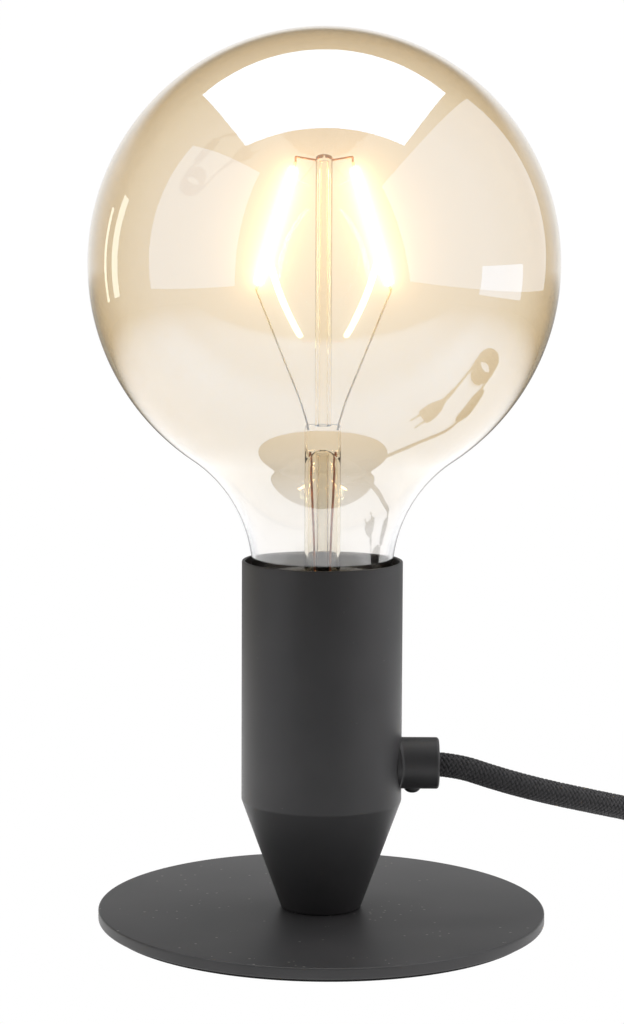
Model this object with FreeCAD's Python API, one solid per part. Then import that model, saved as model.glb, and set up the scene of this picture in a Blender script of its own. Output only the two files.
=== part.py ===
import FreeCAD, Part
import math
import os
from FreeCAD import Vector

# Table lamp: a steel disc, a spun cup-shaped body that stands on it, a lampholder in
# the body and a large bare globe bulb that is screwed into it. A textile cord leaves
# the body through a side gland and ends in an inline switch, a coil and a flat plug.
# Millimetres. Origin in the centre of the underside, +Z up, the gland points to +X.

# ---------------------------------------------------------------- base
BASE_DIAMETER = 120.0
BASE_THICKNESS = 3.0
BASE_EDGE_RADIUS = 0.5
PAD_THICKNESS = 1.0
PAD_INSET = 2.0
PAD_HOLE_DIAMETER = 16.0
SCREW_DIAMETER = 5.0
SCREW_LENGTH = 12.0
SCREW_HEAD_DIAMETER = 9.6
SCREW_SOCKET_WIDTH = 3.0
SCREW_SOCKET_DEPTH = 1.8
SCREW_CLEARANCE = 0.25
SCREW_SINK = 0.2
SCREW_TIP_CHAMFER = 0.4
SCREW_RUN_OUT = 0.6

# ---------------------------------------------------------------- body
BODY_WALL = 0.9
BODY_TO_HOLDER = 1.6
RIM_ABOVE_HOLDER = 10.0
BODY_RIM_RADIUS = 0.35
CONE_HEIGHT = 29.5
CREASE_RADIUS = 2.0
FOOT_DIAMETER = 21.4
FOOT_EDGE_RADIUS = 0.8
INSERT_HEIGHT = 17.0
INSERT_CHAMFER = 0.6
INSERT_CLEARANCE = 0.25
THREAD_CLEARANCE = 0.05

# ---------------------------------------------------------------- tube and lampholder
TUBE_DIAMETER = 10.0
TUBE_BORE = 7.2
TUBE_ENGAGEMENT = 7.5
TUBE_END_GAP = 0.5
NUT_ACROSS_FLATS = 14.0
NUT_HEIGHT = 3.0
HOLDER_ABOVE_GLAND = 6.7
HOLDER_HEIGHT = 38.0
HOLDER_WALL = 1.6
HOLDER_BASE_HEIGHT = 13.0
HOLDER_DOME_RADIUS = 9.0
HOLDER_NECK_WALL = 2.4
HOLDER_MOUTH_DIAMETER = 28.6
HOLDER_LIP = 1.4
HOLDER_TO_SHOULDER = 2.0
WIRE_HOLE_INSET = 0.55
WIRE_HOLE_CLEARANCE = 0.75
WIRE_SEAT_DEPTH = 2.5
DISC_TO_BULB = 2.0
TERMINAL_DISC_THICKNESS = 6.0
TERMINAL_DISC_CHAMFER = 2.0
TERMINAL_DISC_MARGIN = 1.45
TERMINAL_RADIUS = 11.2
TERMINAL_ANGLE = 125.0
TERMINAL_SCREW_DIAMETER = 3.0
TERMINAL_HEAD_DIAMETER = 5.4
TERMINAL_HEAD_HEIGHT = 1.6
TERMINAL_SCREW_GAP = 0.6
SHELL_WALL = 0.35
SHELL_CLEARANCE = 0.2
SHELL_FLANGE = 2.0
CONTACT_FOOT_X = -10.0
CONTACT_RISE_X = -5.0
CONTACT_TONGUE_X = 3.0
SIDE_CONTACT_LENGTH = 3.6
CONTACT_WIDTH = 5.0
CONTACT_STRIP = 0.4
CONTACT_CLEARANCE = 0.1

# ---------------------------------------------------------------- bulb
GLOBE_DIAMETER = 125.0
GLASS_WALL = 0.9
NECK_DIAMETER = 37.5
NECK_LENGTH = 0.25
NECK_FLARE_RADIUS = 36.5
SHOULDER_RADIUS = 4.6
SEAL_DIAMETER = 24.9
SEAL_LENGTH = 9.0
SEAL_FILLET = 0.9
CAP_DIAMETER = 26.3
CAP_WALL = 0.3
CAP_SHELL_HEIGHT = 22.0
CAP_LENGTH = 26.0
CAP_TO_SHOULDER = 0.5
INSULATOR_DIAMETER = 21.0
CONTACT_DIAMETER = 9.6
CONTACT_HEIGHT = 1.6
CONTACT_DOME = 1.0
INSULATOR_HEIGHT = 1.2
INSULATOR_LIP = 0.6
STEM_DIAMETER = 9.6
STEM_WALL = 0.9
PRESS_ABOVE_SHOULDER = 37.6
PRESS_HEIGHT = 6.8
PRESS_THICKNESS = 3.4
PRESS_SHOULDER = 2.2
PRESS_MELT = 0.6
ROD_DIAMETER = 4.4
ROD_BORE = 2.4
ROD_TOP_ABOVE_CENTRE = 28.0
ROD_DOME = 1.0
FILAMENT_DIAMETER = 2.2
FILAMENT_TOP = (8.0, 25.4)
FILAMENT_FOOT = (17.4, -5.4)
FILAMENT_TAB_LENGTH = 1.6
WIRE_DIAMETER = 0.6
BRIDGE_RISE = 1.2
LEAD_KNEE = (5.9, 6.0)
LEAD_FOOT_X = 3.7
INNER_LEAD_X = (2.4, 2.0, 3.2)
INNER_LEAD_KNEE = 22.0
DRIVER_DIAMETER = 21.0
DRIVER_THICKNESS = 1.2
DRIVER_ABOVE_CONTACT = 12.0
CAPACITOR_DIAMETER = 6.4
CAPACITOR_LENGTH = 5.5
CAPACITOR_Y = -4.5
RECTIFIER_SIZE = (4.6, 4.0, 2.4)
CHIP_SIZE = (4.8, 4.0, 1.6)
CHIP_Y = 2.0

# ---------------------------------------------------------------- gland
GLAND_DIAMETER = 13.8
GLAND_ABOVE_CREASE = 9.8
GLAND_LENGTH = 10.0
GLAND_EDGE_RADIUS = 0.8
GLAND_THREAD_DIAMETER = 10.0
GLAND_SPIGOT_PROUD = 1.8
GLAND_FUNNEL_DEPTH = 1.6
GLAND_FUNNEL_FLARE = 0.7
GLAND_NUT_ACROSS_FLATS = 13.0
GLAND_NUT_HEIGHT = 2.4
SADDLE_THICKNESS = 0.9
SADDLE_MARGIN = 0.6
SET_SCREW_DIAMETER = 4.5
SET_SCREW_FROM_BODY = 2.9
SET_SCREW_PROUD = 1.1

# ---------------------------------------------------------------- cord and its pieces
CORD_DIAMETER = 6.5
CORD_CLEARANCE = 0.2
CORE_DIAMETER = 2.3
CORE_GAP = 0.3
CORD_SIDES = 8
SWITCH_LENGTH = 56.0
SWITCH_WIDTH = 25.0
SWITCH_HEIGHT = 17.0
SWITCH_WALL = 2.0
SWITCH_CORNER_RADIUS = 9.0
SWITCH_EDGE_RADIUS = 2.2
SWITCH_CENTRE = (177.0, 47.8)
SWITCH_CORD_DEPTH = 6.0
ROCKER_LENGTH = 20.0
ROCKER_WIDTH = 10.0
ROCKER_DEPTH = 5.5
ROCKER_PROUD = 1.2
ROCKER_TILT = 8.0
ROCKER_GAP = 0.45
ROCKER_PIN_DIAMETER = 2.0
ROCKER_PIN_SINK = 2.6
ROCKER_DIP = 1.1
ROCKER_KEEL = (3.2, 2.4)
ROCKER_END_GAP = 0.25
PIN_SLACK = 0.01
CHEEK_SIZE = (8.0, 1.6)
CHEEK_DROP = 3.2
SWITCH_SCREW_DIAMETER = 2.2
SWITCH_SCREW_HEAD = 4.0
SWITCH_SCREW_HEAD_HEIGHT = 1.6
SWITCH_SCREW_TOP_GAP = 3.6
SWITCH_SCREW_SINK = 0.4
SWITCH_SCREW_INSET = (4.6, 5.1)
SWITCH_CONTACT_X = 13.5
SWITCH_CONTACT_SIZE = (8.0, 6.0, 5.2)
SWITCH_CONTACT_HOLE = 2.6
PLUG_FACE_X = 114.0
PLUG_LENGTH = 36.0
PLUG_WIDTH = 35.0
PLUG_HEIGHT = 14.0
PLUG_EDGE = 0.8
PLUG_CORNER = 6.0
PLUG_RELIEF_LENGTH = 30.0
PLUG_RELIEF_DIAMETER = 10.4
PLUG_RELIEF_WALL = 0.9
PLUG_Y = -27.5
PIN_DIAMETER = 4.0
PIN_LENGTH = 19.0
PIN_TIP_RADIUS = 1.4
PIN_SPACING = 18.6
PIN_ROOT = 9.0
PIN_ROOT_DIAMETER = 3.0
COIL_CENTRE = (260.4, 17.5)
COIL_RADIUS = 41.9
COIL_GAP = 0.6
COIL_LEAD_IN = 10.0
COIL_LEAD_OUT = 12.0
COIL_LAYERS = 4
COIL_START_DEG = 110.0
COIL_END_DEG = 270.0
COIL_TURNS = 6

# ---------------------------------------------------------------- worked out sizes
X_AXIS = Vector(1, 0, 0)
Y_AXIS = Vector(0, 1, 0)
Z_AXIS = Vector(0, 0, 1)
ORIGIN = Vector(0, 0, 0)
CLOSE = 1e-3

CAP_RADIUS = CAP_DIAMETER / 2
SHELL_INNER = CAP_RADIUS + SHELL_CLEARANCE
SHELL_OUTER = SHELL_INNER + SHELL_WALL
DISC_RADIUS = SHELL_OUTER + SHELL_FLANGE + TERMINAL_DISC_MARGIN
HOLDER_INNER = DISC_RADIUS + INSERT_CLEARANCE
HOLDER_RADIUS = HOLDER_INNER + HOLDER_WALL
BODY_INNER = HOLDER_RADIUS + BODY_TO_HOLDER
BODY_RADIUS = BODY_INNER + BODY_WALL
FOOT_RADIUS = FOOT_DIAMETER / 2
TUBE_RADIUS = TUBE_DIAMETER / 2
GLOBE_RADIUS = GLOBE_DIAMETER / 2
NECK_RADIUS = NECK_DIAMETER / 2

PLATE_TOP = PAD_THICKNESS + BASE_THICKNESS
FLOOR_TOP = PLATE_TOP + BODY_WALL
INSERT_TOP = FLOOR_TOP + INSERT_HEIGHT
CREASE_Z = PLATE_TOP + CONE_HEIGHT
GLAND_AXIS_Z = CREASE_Z + GLAND_ABOVE_CREASE
HOLDER_Z = GLAND_AXIS_Z + HOLDER_ABOVE_GLAND
HOLDER_SPLIT = HOLDER_Z + HOLDER_BASE_HEIGHT
HOLDER_TOP = HOLDER_Z + HOLDER_HEIGHT
BODY_RIM_Z = HOLDER_TOP + RIM_ABOVE_HOLDER
SHOULDER_Z = HOLDER_TOP + HOLDER_TO_SHOULDER
CAP_TOP = SHOULDER_Z - CAP_TO_SHOULDER
CAP_FOOT = CAP_TOP - CAP_SHELL_HEIGHT
BULB_BOTTOM = CAP_TOP - CAP_LENGTH
DISC_TOP = BULB_BOTTOM - DISC_TO_BULB
DISC_FOOT = DISC_TOP - TERMINAL_DISC_THICKNESS
NECK_TOP = SHOULDER_Z + SHOULDER_RADIUS + NECK_LENGTH
GLOBE_Z = NECK_TOP + math.sqrt(
    (GLOBE_RADIUS + NECK_FLARE_RADIUS) ** 2 - (NECK_RADIUS + NECK_FLARE_RADIUS) ** 2
)
PRESS_Z = SHOULDER_Z + PRESS_ABOVE_SHOULDER
PRESS_TOP = PRESS_Z + PRESS_HEIGHT
ROD_TOP_Z = GLOBE_Z + ROD_TOP_ABOVE_CENTRE

CONE_SLOPE = (BODY_RADIUS - FOOT_RADIUS) / CONE_HEIGHT
CONE_WALL = BODY_WALL * math.hypot(1, CONE_SLOPE)
WIRE_HOLE_X = CAP_RADIUS - WIRE_HOLE_INSET
CORE_SPACING = CORE_DIAMETER + CORE_GAP
GLAND_END_X = BODY_RADIUS + GLAND_LENGTH
SET_SCREW_X = BODY_RADIUS + SET_SCREW_FROM_BODY
SADDLE_RADIUS = GLAND_NUT_ACROSS_FLATS / 2 + SADDLE_MARGIN
SADDLE_FLAT_X = math.sqrt(BODY_INNER**2 - SADDLE_RADIUS**2) - SADDLE_THICKNESS
GLAND_INNER_X = SADDLE_FLAT_X - GLAND_NUT_HEIGHT - GLAND_SPIGOT_PROUD

CORD_RADIUS = CORD_DIAMETER / 2
GLAND_BORE = CORD_RADIUS + CORD_CLEARANCE
SWITCH_AXIS_Z = SWITCH_HEIGHT / 2
PLUG_AXIS_Z = PLUG_HEIGHT / 2
SWITCH_X0 = SWITCH_CENTRE[0] - SWITCH_LENGTH / 2
SWITCH_X1 = SWITCH_CENTRE[0] + SWITCH_LENGTH / 2
COIL_PITCH = CORD_DIAMETER + COIL_GAP


# ---------------------------------------------------------------- small tools
def outline(start, *steps):
    """A closed wire in the XZ plane: a step is a point, or a via point and an end for an arc."""
    edges = []
    here = Vector(start[0], 0, start[1])
    for step in steps + (start,):
        if isinstance(step[0], tuple):
            via, end = [Vector(p[0], 0, p[1]) for p in step]
            edges.append(Part.Arc(here, via, end).toShape())
        else:
            end = Vector(step[0], 0, step[1])
            if end.distanceToPoint(here) > 1e-6:
                edges.append(Part.LineSegment(here, end).toShape())
        here = end
    return Part.Wire(edges)


def turned(start, *steps):
    """A solid of revolution about Z from an outline of (radius, height) points."""
    return Part.Face(outline(start, *steps)).revolve(ORIGIN, Z_AXIS, 360)


def rod(radius, start, end):
    """A cylinder between two points."""
    return Part.makeCylinder(radius, (end - start).Length, start, end - start)


def pipe(outer, inner, start, end):
    """A tube between two points."""
    return rod(outer, start, end).cut(rod(inner, start, end))


def hexagon(across_flats, centre, axis, height):
    """A hexagonal prism that starts at centre and grows along axis."""
    corner = across_flats / math.sqrt(3)
    points = [
        Vector(corner * math.cos(math.radians(60 * k)), corner * math.sin(math.radians(60 * k)), 0)
        for k in range(7)
    ]
    prism = Part.Face(Part.makePolygon(points)).extrude(Vector(0, 0, height))
    prism.Placement = FreeCAD.Placement(centre, FreeCAD.Rotation(Z_AXIS, axis))
    return prism


def on_circle(centre, radius, degrees):
    """A point of a circle in the (radius, height) plane."""
    turn = math.radians(degrees)
    return (centre[0] + radius * math.cos(turn), centre[1] + radius * math.sin(turn))


def edges_at(solid, test):
    """The edges whose centre of mass passes a test."""
    return [edge for edge in solid.Edges if test(edge)]


def rings_at(solid, place):
    """The round edges about Z at one (radius, height) of a turned solid."""
    return edges_at(
        solid,
        lambda e: abs(e.BoundBox.ZMin - place[1]) < CLOSE
        and abs(e.BoundBox.ZMax - place[1]) < CLOSE
        and abs(e.BoundBox.XMax - place[0]) < CLOSE,
    )


def gland_axis(x):
    """A point on the gland's axis."""
    return Vector(x, 0, GLAND_AXIS_Z)


def write(name, *solids):
    """Writes one node: a solid, or a group of separate solids."""
    shape = solids[0] if len(solids) == 1 else Part.makeCompound(list(solids))
    for solid in shape.Solids:
        if not solid.isValid():
            print("not valid:", name)
    shape.exportStep(os.path.join("parts", name + ".step"))
    print(f"{name:26s} solids {len(shape.Solids)}  volume {shape.Volume:10.1f}")


# ---------------------------------------------------------------- tubes along a route
def corner_arcs(points, share=0.45):
    """Straight runs and tangent arcs along a route, and the radius of each arc."""
    points = [Vector(*p) for p in points]
    edges = []
    radii = []
    here = points[0]
    for before, corner, after in zip(points, points[1:], points[2:]):
        to_corner = (corner - before).normalize()
        from_corner = (after - corner).normalize()
        turn = to_corner.getAngle(from_corner)
        setback = share * min((corner - before).Length, (after - corner).Length)
        radius = setback / math.tan(turn / 2)
        start = corner - to_corner * setback
        end = corner + from_corner * setback
        inward = (from_corner - to_corner).normalize()
        middle = corner + inward * (math.hypot(radius, setback) - radius)
        edges.append(Part.LineSegment(here, start).toShape())
        edges.append(Part.Arc(start, middle, end).toShape())
        radii.append(radius)
        here = end
    edges.append(Part.LineSegment(here, points[-1]).toShape())
    return edges, radii


def swept(edges, radius, sides=0):
    """A tube along tangent edges, round or with flat sides, and the length of its line."""
    path = Part.Wire(edges)
    start = path.Edges[0]
    heading = start.tangentAt(start.FirstParameter)
    ring = Part.Circle(start.valueAt(start.FirstParameter), heading, radius)
    if sides:
        corners = [ring.value(2 * math.pi * k / sides) for k in range(sides)]
        section = Part.makePolygon(corners + corners[:1])
    else:
        section = Part.Wire([ring.toShape()])
    tube = path.makePipeShell([section], True, False)
    if tube.ShapeType != "Solid":
        tube = tube.Solids[0] if tube.Solids else Part.makeSolid(tube)
    return tube, path.Length


def cord_along(name, edges):
    """A stretch of the cord, with its volume set against its section times its length."""
    tube, length = swept(edges, CORD_RADIUS, CORD_SIDES)
    section = CORD_SIDES / 2 * CORD_RADIUS**2 * math.sin(2 * math.pi / CORD_SIDES)
    print(f"{name}: length {length:.1f}, volume ratio {tube.Volume / section / length:.4f}")
    return tube, length


def cord_tube(name, points):
    """A free stretch of the cord, with the radius of each of its bends."""
    edges, radii = corner_arcs(points)
    print(name, "radii", [round(r, 1) for r in radii])
    return cord_along(name, edges)


def bent_wire(points, radius, share=0.3):
    """A thin wire with small bends along a route."""
    edges, _ = corner_arcs(points, share)
    return swept(edges, radius)[0]


# ---------------------------------------------------------------- base
def base_pad():
    """The dark sheet under the plate, with a hole below the screw."""
    radius = BASE_DIAMETER / 2 - PAD_INSET
    return pipe(radius, PAD_HOLE_DIAMETER / 2, ORIGIN, Vector(0, 0, PAD_THICKNESS))


def base_plate():
    """The steel disc with a countersunk hole and a soft top edge."""
    radius = BASE_DIAMETER / 2
    hole = SCREW_DIAMETER / 2 + SCREW_CLEARANCE
    sink = PAD_THICKNESS + SCREW_SINK
    mouth = SCREW_HEAD_DIAMETER / 2 + SCREW_CLEARANCE
    edge = BASE_EDGE_RADIUS
    corner = edge * (1 - math.sqrt(0.5))
    return turned(
        (mouth, PAD_THICKNESS),
        (radius - edge, PAD_THICKNESS),
        ((radius - corner, PAD_THICKNESS + corner), (radius, PAD_THICKNESS + edge)),
        (radius, PLATE_TOP - edge),
        ((radius - corner, PLATE_TOP - corner), (radius - edge, PLATE_TOP)),
        (hole, PLATE_TOP),
        (hole, sink + mouth - hole),
        (mouth, sink),
    )


def base_screw():
    """The countersunk screw that draws the body onto the plate."""
    shank = SCREW_DIAMETER / 2
    head = SCREW_HEAD_DIAMETER / 2
    foot = PAD_THICKNESS + SCREW_SINK
    screw = turned(
        (0, foot),
        (head, foot),
        (shank, foot + head - shank),
        (shank, foot + SCREW_LENGTH - SCREW_TIP_CHAMFER),
        (shank - SCREW_TIP_CHAMFER, foot + SCREW_LENGTH),
        (0, foot + SCREW_LENGTH),
    )
    socket = hexagon(SCREW_SOCKET_WIDTH, Vector(0, 0, foot), Z_AXIS, SCREW_SOCKET_DEPTH)
    return screw.cut(socket)


# ---------------------------------------------------------------- body
def body_outline(wall):
    """Radius and height of the body's skin, drawn in by a wall: foot, crease, rim."""
    level = wall * math.hypot(1, CONE_SLOPE)
    foot = FOOT_RADIUS - level + CONE_SLOPE * wall
    crease = CREASE_Z + wall * (math.hypot(1, CONE_SLOPE) - 1) / CONE_SLOPE
    return (foot, PLATE_TOP + wall), (BODY_RADIUS - wall, crease)


def body_shell():
    """The spun cup: a flat foot, a cone, a crease and a straight wall with a soft rim."""
    foot, crease = body_outline(0)
    inner_foot, inner_crease = body_outline(BODY_WALL)
    hole = SCREW_DIAMETER / 2 + SCREW_CLEARANCE
    rim = BODY_RIM_RADIUS
    corner = rim * (1 - math.sqrt(0.5))
    shell = turned(
        (hole, foot[1]),
        foot,
        crease,
        (BODY_RADIUS, BODY_RIM_Z - rim),
        ((BODY_RADIUS - corner, BODY_RIM_Z - corner), (BODY_RADIUS - rim, BODY_RIM_Z)),
        (BODY_INNER + rim, BODY_RIM_Z),
        ((BODY_INNER + corner, BODY_RIM_Z - corner), (BODY_INNER, BODY_RIM_Z - rim)),
        inner_crease,
        inner_foot,
        (hole, inner_foot[1]),
    )
    for place, radius in (
        (crease, CREASE_RADIUS),
        (inner_crease, CREASE_RADIUS - BODY_WALL),
        (foot, FOOT_EDGE_RADIUS),
    ):
        shell = shell.makeFillet(radius, rings_at(shell, place))
    side_hole = GLAND_THREAD_DIAMETER / 2 + THREAD_CLEARANCE
    return shell.cut(rod(side_hole, gland_axis(0), gland_axis(GLAND_END_X)))


def foot_insert():
    """The turned steel plug in the cone, tapped from below and from above."""
    def cone(height):
        return FOOT_RADIUS + CONE_SLOPE * (height - PLATE_TOP) - CONE_WALL - INSERT_CLEARANCE

    chamfer = INSERT_CHAMFER
    screw = SCREW_DIAMETER / 2 + THREAD_CLEARANCE
    screw_end = PAD_THICKNESS + SCREW_SINK + SCREW_LENGTH + SCREW_RUN_OUT
    bore = TUBE_RADIUS + THREAD_CLEARANCE
    return turned(
        (screw, FLOOR_TOP),
        (cone(FLOOR_TOP) - chamfer, FLOOR_TOP),
        (cone(FLOOR_TOP + chamfer), FLOOR_TOP + chamfer),
        (cone(INSERT_TOP - chamfer), INSERT_TOP - chamfer),
        (cone(INSERT_TOP) - 2 * chamfer, INSERT_TOP),
        (bore, INSERT_TOP),
        (bore, INSERT_TOP - TUBE_ENGAGEMENT),
        (screw, screw_end),
    )


def threaded_tube():
    """The hollow threaded tube from the foot insert into the lampholder's neck."""
    return pipe(
        TUBE_RADIUS,
        TUBE_BORE / 2,
        Vector(0, 0, INSERT_TOP - TUBE_ENGAGEMENT),
        Vector(0, 0, DISC_FOOT - TUBE_END_GAP),
    )


def lock_nut(height_z):
    """A thin hexagon nut on the threaded tube."""
    nut = hexagon(NUT_ACROSS_FLATS, Vector(0, 0, height_z), Z_AXIS, NUT_HEIGHT)
    bore = TUBE_RADIUS + THREAD_CLEARANCE
    return nut.cut(rod(bore, Vector(0, 0, height_z), Vector(0, 0, height_z + NUT_HEIGHT)))


# ---------------------------------------------------------------- lampholder
def holder_base():
    """The domed lower cap of the lampholder, with its threaded neck and the way for the wires."""
    bore = TUBE_RADIUS + THREAD_CLEARANCE
    dome = (HOLDER_RADIUS - HOLDER_DOME_RADIUS, HOLDER_Z + HOLDER_DOME_RADIUS)
    inner = HOLDER_DOME_RADIUS - HOLDER_WALL
    neck = bore + HOLDER_NECK_WALL
    cap = turned(
        (bore, HOLDER_Z),
        (dome[0], HOLDER_Z),
        (on_circle(dome, HOLDER_DOME_RADIUS, -45), (HOLDER_RADIUS, dome[1])),
        (HOLDER_RADIUS, HOLDER_SPLIT),
        (HOLDER_INNER, HOLDER_SPLIT),
        (HOLDER_INNER, dome[1]),
        (on_circle(dome, inner, -45), (dome[0], HOLDER_Z + HOLDER_WALL)),
        (neck, HOLDER_Z + HOLDER_WALL),
        (neck, DISC_FOOT),
        (bore, DISC_FOOT),
    )
    foot = Vector(WIRE_HOLE_X, 0, HOLDER_Z)
    hole = CORE_DIAMETER + CORE_GAP / 2 + WIRE_HOLE_CLEARANCE
    return cap.cut(rod(hole, foot, foot + Z_AXIS * HOLDER_BASE_HEIGHT))


def holder_sleeve():
    """The outer sleeve that screws onto the base and closes round the mouth."""
    edge = HOLDER_WALL / 2
    return turned(
        (HOLDER_INNER, HOLDER_SPLIT),
        (HOLDER_RADIUS, HOLDER_SPLIT),
        (HOLDER_RADIUS, HOLDER_TOP - edge),
        (HOLDER_RADIUS - edge, HOLDER_TOP),
        (HOLDER_MOUTH_DIAMETER / 2, HOLDER_TOP),
        (HOLDER_MOUTH_DIAMETER / 2, HOLDER_TOP - HOLDER_LIP),
        (HOLDER_INNER, HOLDER_TOP - HOLDER_LIP),
    )


def terminal_place(side):
    """The foot of a terminal screw, on one side of the disc's back half."""
    turn = math.radians(TERMINAL_ANGLE)
    reach = TERMINAL_RADIUS
    return Vector(reach * math.cos(turn), side * reach * math.sin(turn), DISC_FOOT)


def core_place(side, height):
    """A point of a core wire's upright stretch."""
    return Vector(WIRE_HOLE_X, side * CORE_SPACING / 2, height)


def terminal_disc():
    """The moulded disc that carries both contacts and the screw shell."""
    disc = turned(
        (0, DISC_FOOT),
        (DISC_RADIUS - TERMINAL_DISC_CHAMFER, DISC_FOOT),
        (DISC_RADIUS, DISC_FOOT + TERMINAL_DISC_CHAMFER),
        (DISC_RADIUS, DISC_TOP),
        (0, DISC_TOP),
    )
    screw = TERMINAL_SCREW_DIAMETER / 2 + THREAD_CLEARANCE
    core = CORE_DIAMETER / 2 + THREAD_CLEARANCE
    for side in (-1, 1):
        foot = terminal_place(side)
        disc = disc.cut(rod(screw, foot, foot + Z_AXIS * TERMINAL_DISC_THICKNESS))
        seat = DISC_FOOT + WIRE_SEAT_DEPTH
        disc = disc.cut(rod(core, core_place(side, DISC_FOOT), core_place(side, seat)))
    return disc


def screw_shell():
    """The brass shell that takes the cap, with a flange on the terminal disc."""
    top = HOLDER_TOP - HOLDER_LIP - CONTACT_CLEARANCE
    flange = SHELL_OUTER + SHELL_FLANGE
    return turned(
        (SHELL_INNER, DISC_TOP),
        (flange, DISC_TOP),
        (flange, DISC_TOP + SHELL_WALL),
        (SHELL_OUTER, DISC_TOP + SHELL_WALL),
        (SHELL_OUTER, top),
        (SHELL_INNER, top),
    )


def centre_contact():
    """The sprung tongue under the bulb, from its foot on the disc up to the cap's contact."""
    low = DISC_TOP
    high = BULB_BOTTOM - CONTACT_CLEARANCE
    strip = CONTACT_STRIP
    rise = high - low - strip
    profile = [
        (CONTACT_FOOT_X, low),
        (CONTACT_RISE_X + strip, low),
        (CONTACT_RISE_X + rise + strip, high - strip),
        (CONTACT_TONGUE_X, high - strip),
        (CONTACT_TONGUE_X, high),
        (CONTACT_RISE_X + rise, high),
        (CONTACT_RISE_X, low + strip),
        (CONTACT_FOOT_X, low + strip),
    ]
    tongue = Part.Face(outline(profile[0], *profile[1:])).extrude(Y_AXIS * CONTACT_WIDTH)
    tongue.translate(Y_AXIS * (-CONTACT_WIDTH / 2))
    return tongue


def side_contact():
    """The strip on the disc that joins the screw shell to its terminal."""
    low = Vector(SHELL_INNER - SIDE_CONTACT_LENGTH, -CONTACT_WIDTH / 2, DISC_TOP)
    strip = Part.makeBox(SIDE_CONTACT_LENGTH, CONTACT_WIDTH, CONTACT_STRIP, low)
    return strip.common(rod(SHELL_INNER, Vector(0, 0, DISC_TOP), Vector(0, 0, BULB_BOTTOM)))


def terminal_screws():
    """The two screws under the disc that hold the wires."""
    screws = []
    for side in (-1, 1):
        foot = terminal_place(side)
        head = rod(TERMINAL_HEAD_DIAMETER / 2, foot - Z_AXIS * TERMINAL_HEAD_HEIGHT, foot)
        length = TERMINAL_DISC_THICKNESS - TERMINAL_SCREW_GAP
        shank = rod(TERMINAL_SCREW_DIAMETER / 2, foot, foot + Z_AXIS * length)
        screws.append(head.fuse(shank).removeSplitter())
    return screws


# ---------------------------------------------------------------- bulb
def globe_line(wall):
    """The bulb's skin, drawn in by a wall, from the seal's foot round to the pole."""
    globe = GLOBE_RADIUS - wall
    neck = NECK_RADIUS - wall
    flare = NECK_FLARE_RADIUS + wall
    centre = (neck + flare, NECK_TOP)
    aim = math.degrees(math.atan2(centre[1] - GLOBE_Z, centre[0]))
    shoulder = SHOULDER_RADIUS - wall
    shoulder_centre = (neck - shoulder, SHOULDER_Z + SHOULDER_RADIUS)
    fillet = SEAL_FILLET + wall
    seal = SEAL_DIAMETER / 2 - wall
    fillet_centre = (seal + fillet, SHOULDER_Z - SEAL_FILLET)
    return {
        "foot": (seal, SHOULDER_Z - SEAL_LENGTH),
        "steps": [
            (seal, fillet_centre[1]),
            (on_circle(fillet_centre, fillet, 135), on_circle(fillet_centre, fillet, 90)),
            (shoulder_centre[0], SHOULDER_Z + wall),
            (on_circle(shoulder_centre, shoulder, -45), (neck, shoulder_centre[1])),
            (neck, centre[1]),
            (on_circle(centre, flare, 180 + aim / 2), on_circle((0, GLOBE_Z), globe, aim)),
            (on_circle((0, GLOBE_Z), globe, (aim + 90) / 2), (0, GLOBE_Z + globe)),
        ],
    }


def bulb_glass():
    """The hollow globe with its flared neck, its shoulder and the seal inside the cap."""
    skins = []
    for wall in (0.0, GLASS_WALL):
        line = globe_line(wall)
        skins.append(turned(line["foot"], *line["steps"], (0, line["foot"][1])))
    return skins[0].cut(skins[1])


def bulb_cap():
    """The thin metal cap: a straight shell that closes in to the insulator."""
    inner = CAP_RADIUS - CAP_WALL
    foot = INSULATOR_DIAMETER / 2 + CAP_WALL
    knee = CAP_RADIUS - foot
    return turned(
        (foot - CAP_WALL, CAP_FOOT),
        (foot, CAP_FOOT),
        (CAP_RADIUS, CAP_FOOT + knee),
        (CAP_RADIUS, CAP_TOP),
        (inner, CAP_TOP),
        (inner, CAP_FOOT + knee + CAP_WALL),
        (foot - CAP_WALL, CAP_FOOT + CAP_WALL * 2),
    )


def bulb_insulator():
    """The black glass cone between the cap and its centre contact."""
    wide = INSULATOR_DIAMETER / 2 - THREAD_CLEARANCE
    narrow = CONTACT_DIAMETER / 2 + INSULATOR_LIP
    low = BULB_BOTTOM + CONTACT_HEIGHT
    bow = 0.3
    middle = ((wide + narrow) / 2 + bow, (low + CAP_FOOT) / 2 - bow)
    return turned(
        (0, low),
        (narrow, low),
        (middle, (wide, CAP_FOOT)),
        (wide, CAP_FOOT + INSULATOR_HEIGHT),
        (0, CAP_FOOT + INSULATOR_HEIGHT),
    )


def bulb_contact():
    """The domed button in the middle of the bulb's foot."""
    radius = CONTACT_DIAMETER / 2
    low = BULB_BOTTOM
    dome = CONTACT_DOME
    return turned(
        (0, low),
        ((radius * 2 / 3, low + dome / 3), (radius, low + dome)),
        (radius, low + CONTACT_HEIGHT),
        (0, low + CONTACT_HEIGHT),
    )


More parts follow.
